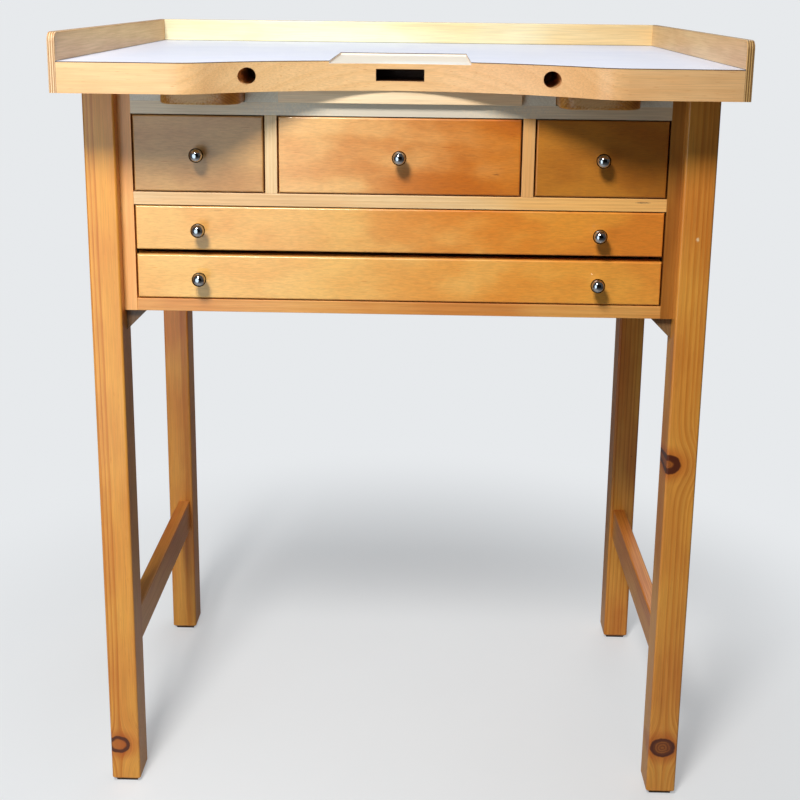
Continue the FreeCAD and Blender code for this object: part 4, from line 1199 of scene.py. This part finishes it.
screw_count = place_screws(
    "leg_bolts", "bench", "leg_bolt", "X", lambda seat: "X" if seat.x > 0 else "-X", BOLT
)
screw_count += place_screws(
    "worktop_screws", "bench", "worktop_screw", "Z", lambda seat: "Z", WORKTOP_SCREW
)
for drawer in front_tones:
    node = f"{drawer}_screw" if f"{drawer}_screw" in nodes else f"{drawer}_screws"
    screw_count += place_screws(
        node, drawer, f"{drawer}_knob_screw", "Y", lambda seat: "-Y", KNOB_SCREW
    )
print(screw_count, "screws and bolts")

# %% [markdown]
# ## The floor
# The bench stands in a plain pale studio. The floor looks pale to the camera but throws
# little light back up, so the undersides stay dark, and away from the bench it fades
# into the backdrop.

# %% Floor
FLOOR_SIZE = 60
BACKDROP = rgb(0.80, 0.82, 0.84)
FLOOR_THROWN = rgb(0.36, 0.36, 0.36)

start_piece()
bpy.ops.mesh.primitive_plane_add(size=FLOOR_SIZE)
floor = bpy.context.object
floor.name = "floor"
floor_paint, tree, shader = new_material("floor_paint", Roughness=0.7)
place = object_place(tree)
mottled = noise(tree, place, 6.0, 4.0).outputs["Fac"]
looked_at = add_node(tree, "ShaderNodeLightPath").outputs["Is Camera Ray"]
paint = blended(tree, mottled, rgb(0.86, 0.87, 0.88), rgb(0.90, 0.91, 0.92))
tree.links.new(blended(tree, looked_at, FLOOR_THROWN, paint), shader.inputs["Base Color"])
far = between(tree, vectors(tree, "LENGTH", place), 0.35, 1.05, 0.40, 1.0)
seen = maths(tree, "MULTIPLY", far, looked_at)
glow = add_node(tree, "ShaderNodeEmission", {"Color": BACKDROP, "Strength": 1.0})
mixing = add_node(tree, "ShaderNodeMixShader", {0: seen, 1: shader.outputs[0], 2: glow.outputs[0]})
tree.links.new(mixing.outputs[0], tree.nodes["Material Output"].inputs["Surface"])
floor.data.materials.append(floor_paint)
print("floor:", FLOOR_SIZE, "m wide")

# %% [markdown]
# ## A dark curtain
# It hangs behind the viewer and is seen only in reflections, where it gives the chrome
# its black bands.

# %% Curtain
bpy.ops.mesh.primitive_plane_add(size=1, location=(1.4, -3.4, 1.7), rotation=(pi / 2, 0, 0))
curtain = bpy.context.object
curtain.name = "curtain"
curtain.scale = (4.4, 3.2, 1)
curtain.visible_camera = False
curtain.visible_diffuse = False
curtain.visible_shadow = False
curtain_cloth, tree, shader = new_material("curtain_cloth", Roughness=1.0, Base_Color=rgb(0.02, 0.02, 0.022))
curtain.data.materials.append(curtain_cloth)
print("curtain:", *(round(size, 1) for size in curtain.scale.xy), "m")

# %% [markdown]
# ## The lamps
# The key lamp is a soft spot above the viewer's left shoulder: its cone fades to the
# right, and the worktop throws its curved shadow on the small drawers. Three large
# panels are weaker. A cool one at the left fills the shadow, a warm one lights the back,
# and one hangs over the worktop.

# %% Lamps
def point_at(lamp, target):
    aim = Vector(target) - lamp.location
    lamp.rotation_euler = aim.to_track_quat("-Z", "Y").to_euler()


def add_panel(name, place, target, size, power, colour):
    bpy.ops.object.light_add(type="AREA", location=place)
    panel = bpy.context.object
    panel.name = name
    panel.data.shape = "DISK"
    panel.data.size = size
    panel.data.energy = power
    panel.data.color = colour
    point_at(panel, target)


bpy.ops.object.light_add(type="SPOT", location=(-0.50, -1.70, 2.46))
key_lamp = bpy.context.object
key_lamp.name = "key_lamp"
key_lamp.data.energy = 266
key_lamp.data.color = (1.0, 0.98, 0.95)
key_lamp.data.shadow_soft_size = 0.30
key_lamp.data.spot_size = radians(68)
key_lamp.data.spot_blend = 1.0
point_at(key_lamp, (-0.28, -0.2, 0.66))

add_panel("fill_panel", (-0.95, -1.30, 0.70), (-1.30, 0.0, 0.70), 1.6, 10, (0.72, 0.88, 1.0))
add_panel("back_panel", (0.9, 2.5, 2.5), (0.0, 0.0, 0.5), 2.0, 14, (1.0, 0.97, 0.92))
add_panel("ceiling_panel", (0.08, 0.35, 1.95), (0.08, 0.35, 0.0), 1.2, 5.0, (0.80, 0.90, 1.0))

# %% [markdown]
# ## The room around
# The room gives a faint cool light from all sides, while the camera sees an even pale
# backdrop in its place. Colours are shown as they are, with no film look over them.

# %% World
world = bpy.data.worlds.new("studio")
bpy.context.scene.world = world
world.use_nodes = True
sky = world.node_tree
ambient = sky.nodes["Background"]
ambient.inputs["Color"].default_value = rgb(0.93, 0.96, 1.0)
ambient.inputs["Strength"].default_value = 0.08
shown = add_node(sky, "ShaderNodeBackground", {"Color": BACKDROP, "Strength": 1.0})
looked_at = add_node(sky, "ShaderNodeLightPath").outputs["Is Camera Ray"]
mixing = add_node(sky, "ShaderNodeMixShader", {0: looked_at, 1: ambient.outputs[0], 2: shown.outputs[0]})
sky.links.new(mixing.outputs[0], sky.nodes["World Output"].inputs["Surface"])
bpy.context.scene.view_settings.view_transform = "Standard"
print("ambient strength:", round(ambient.inputs["Strength"].default_value, 2))
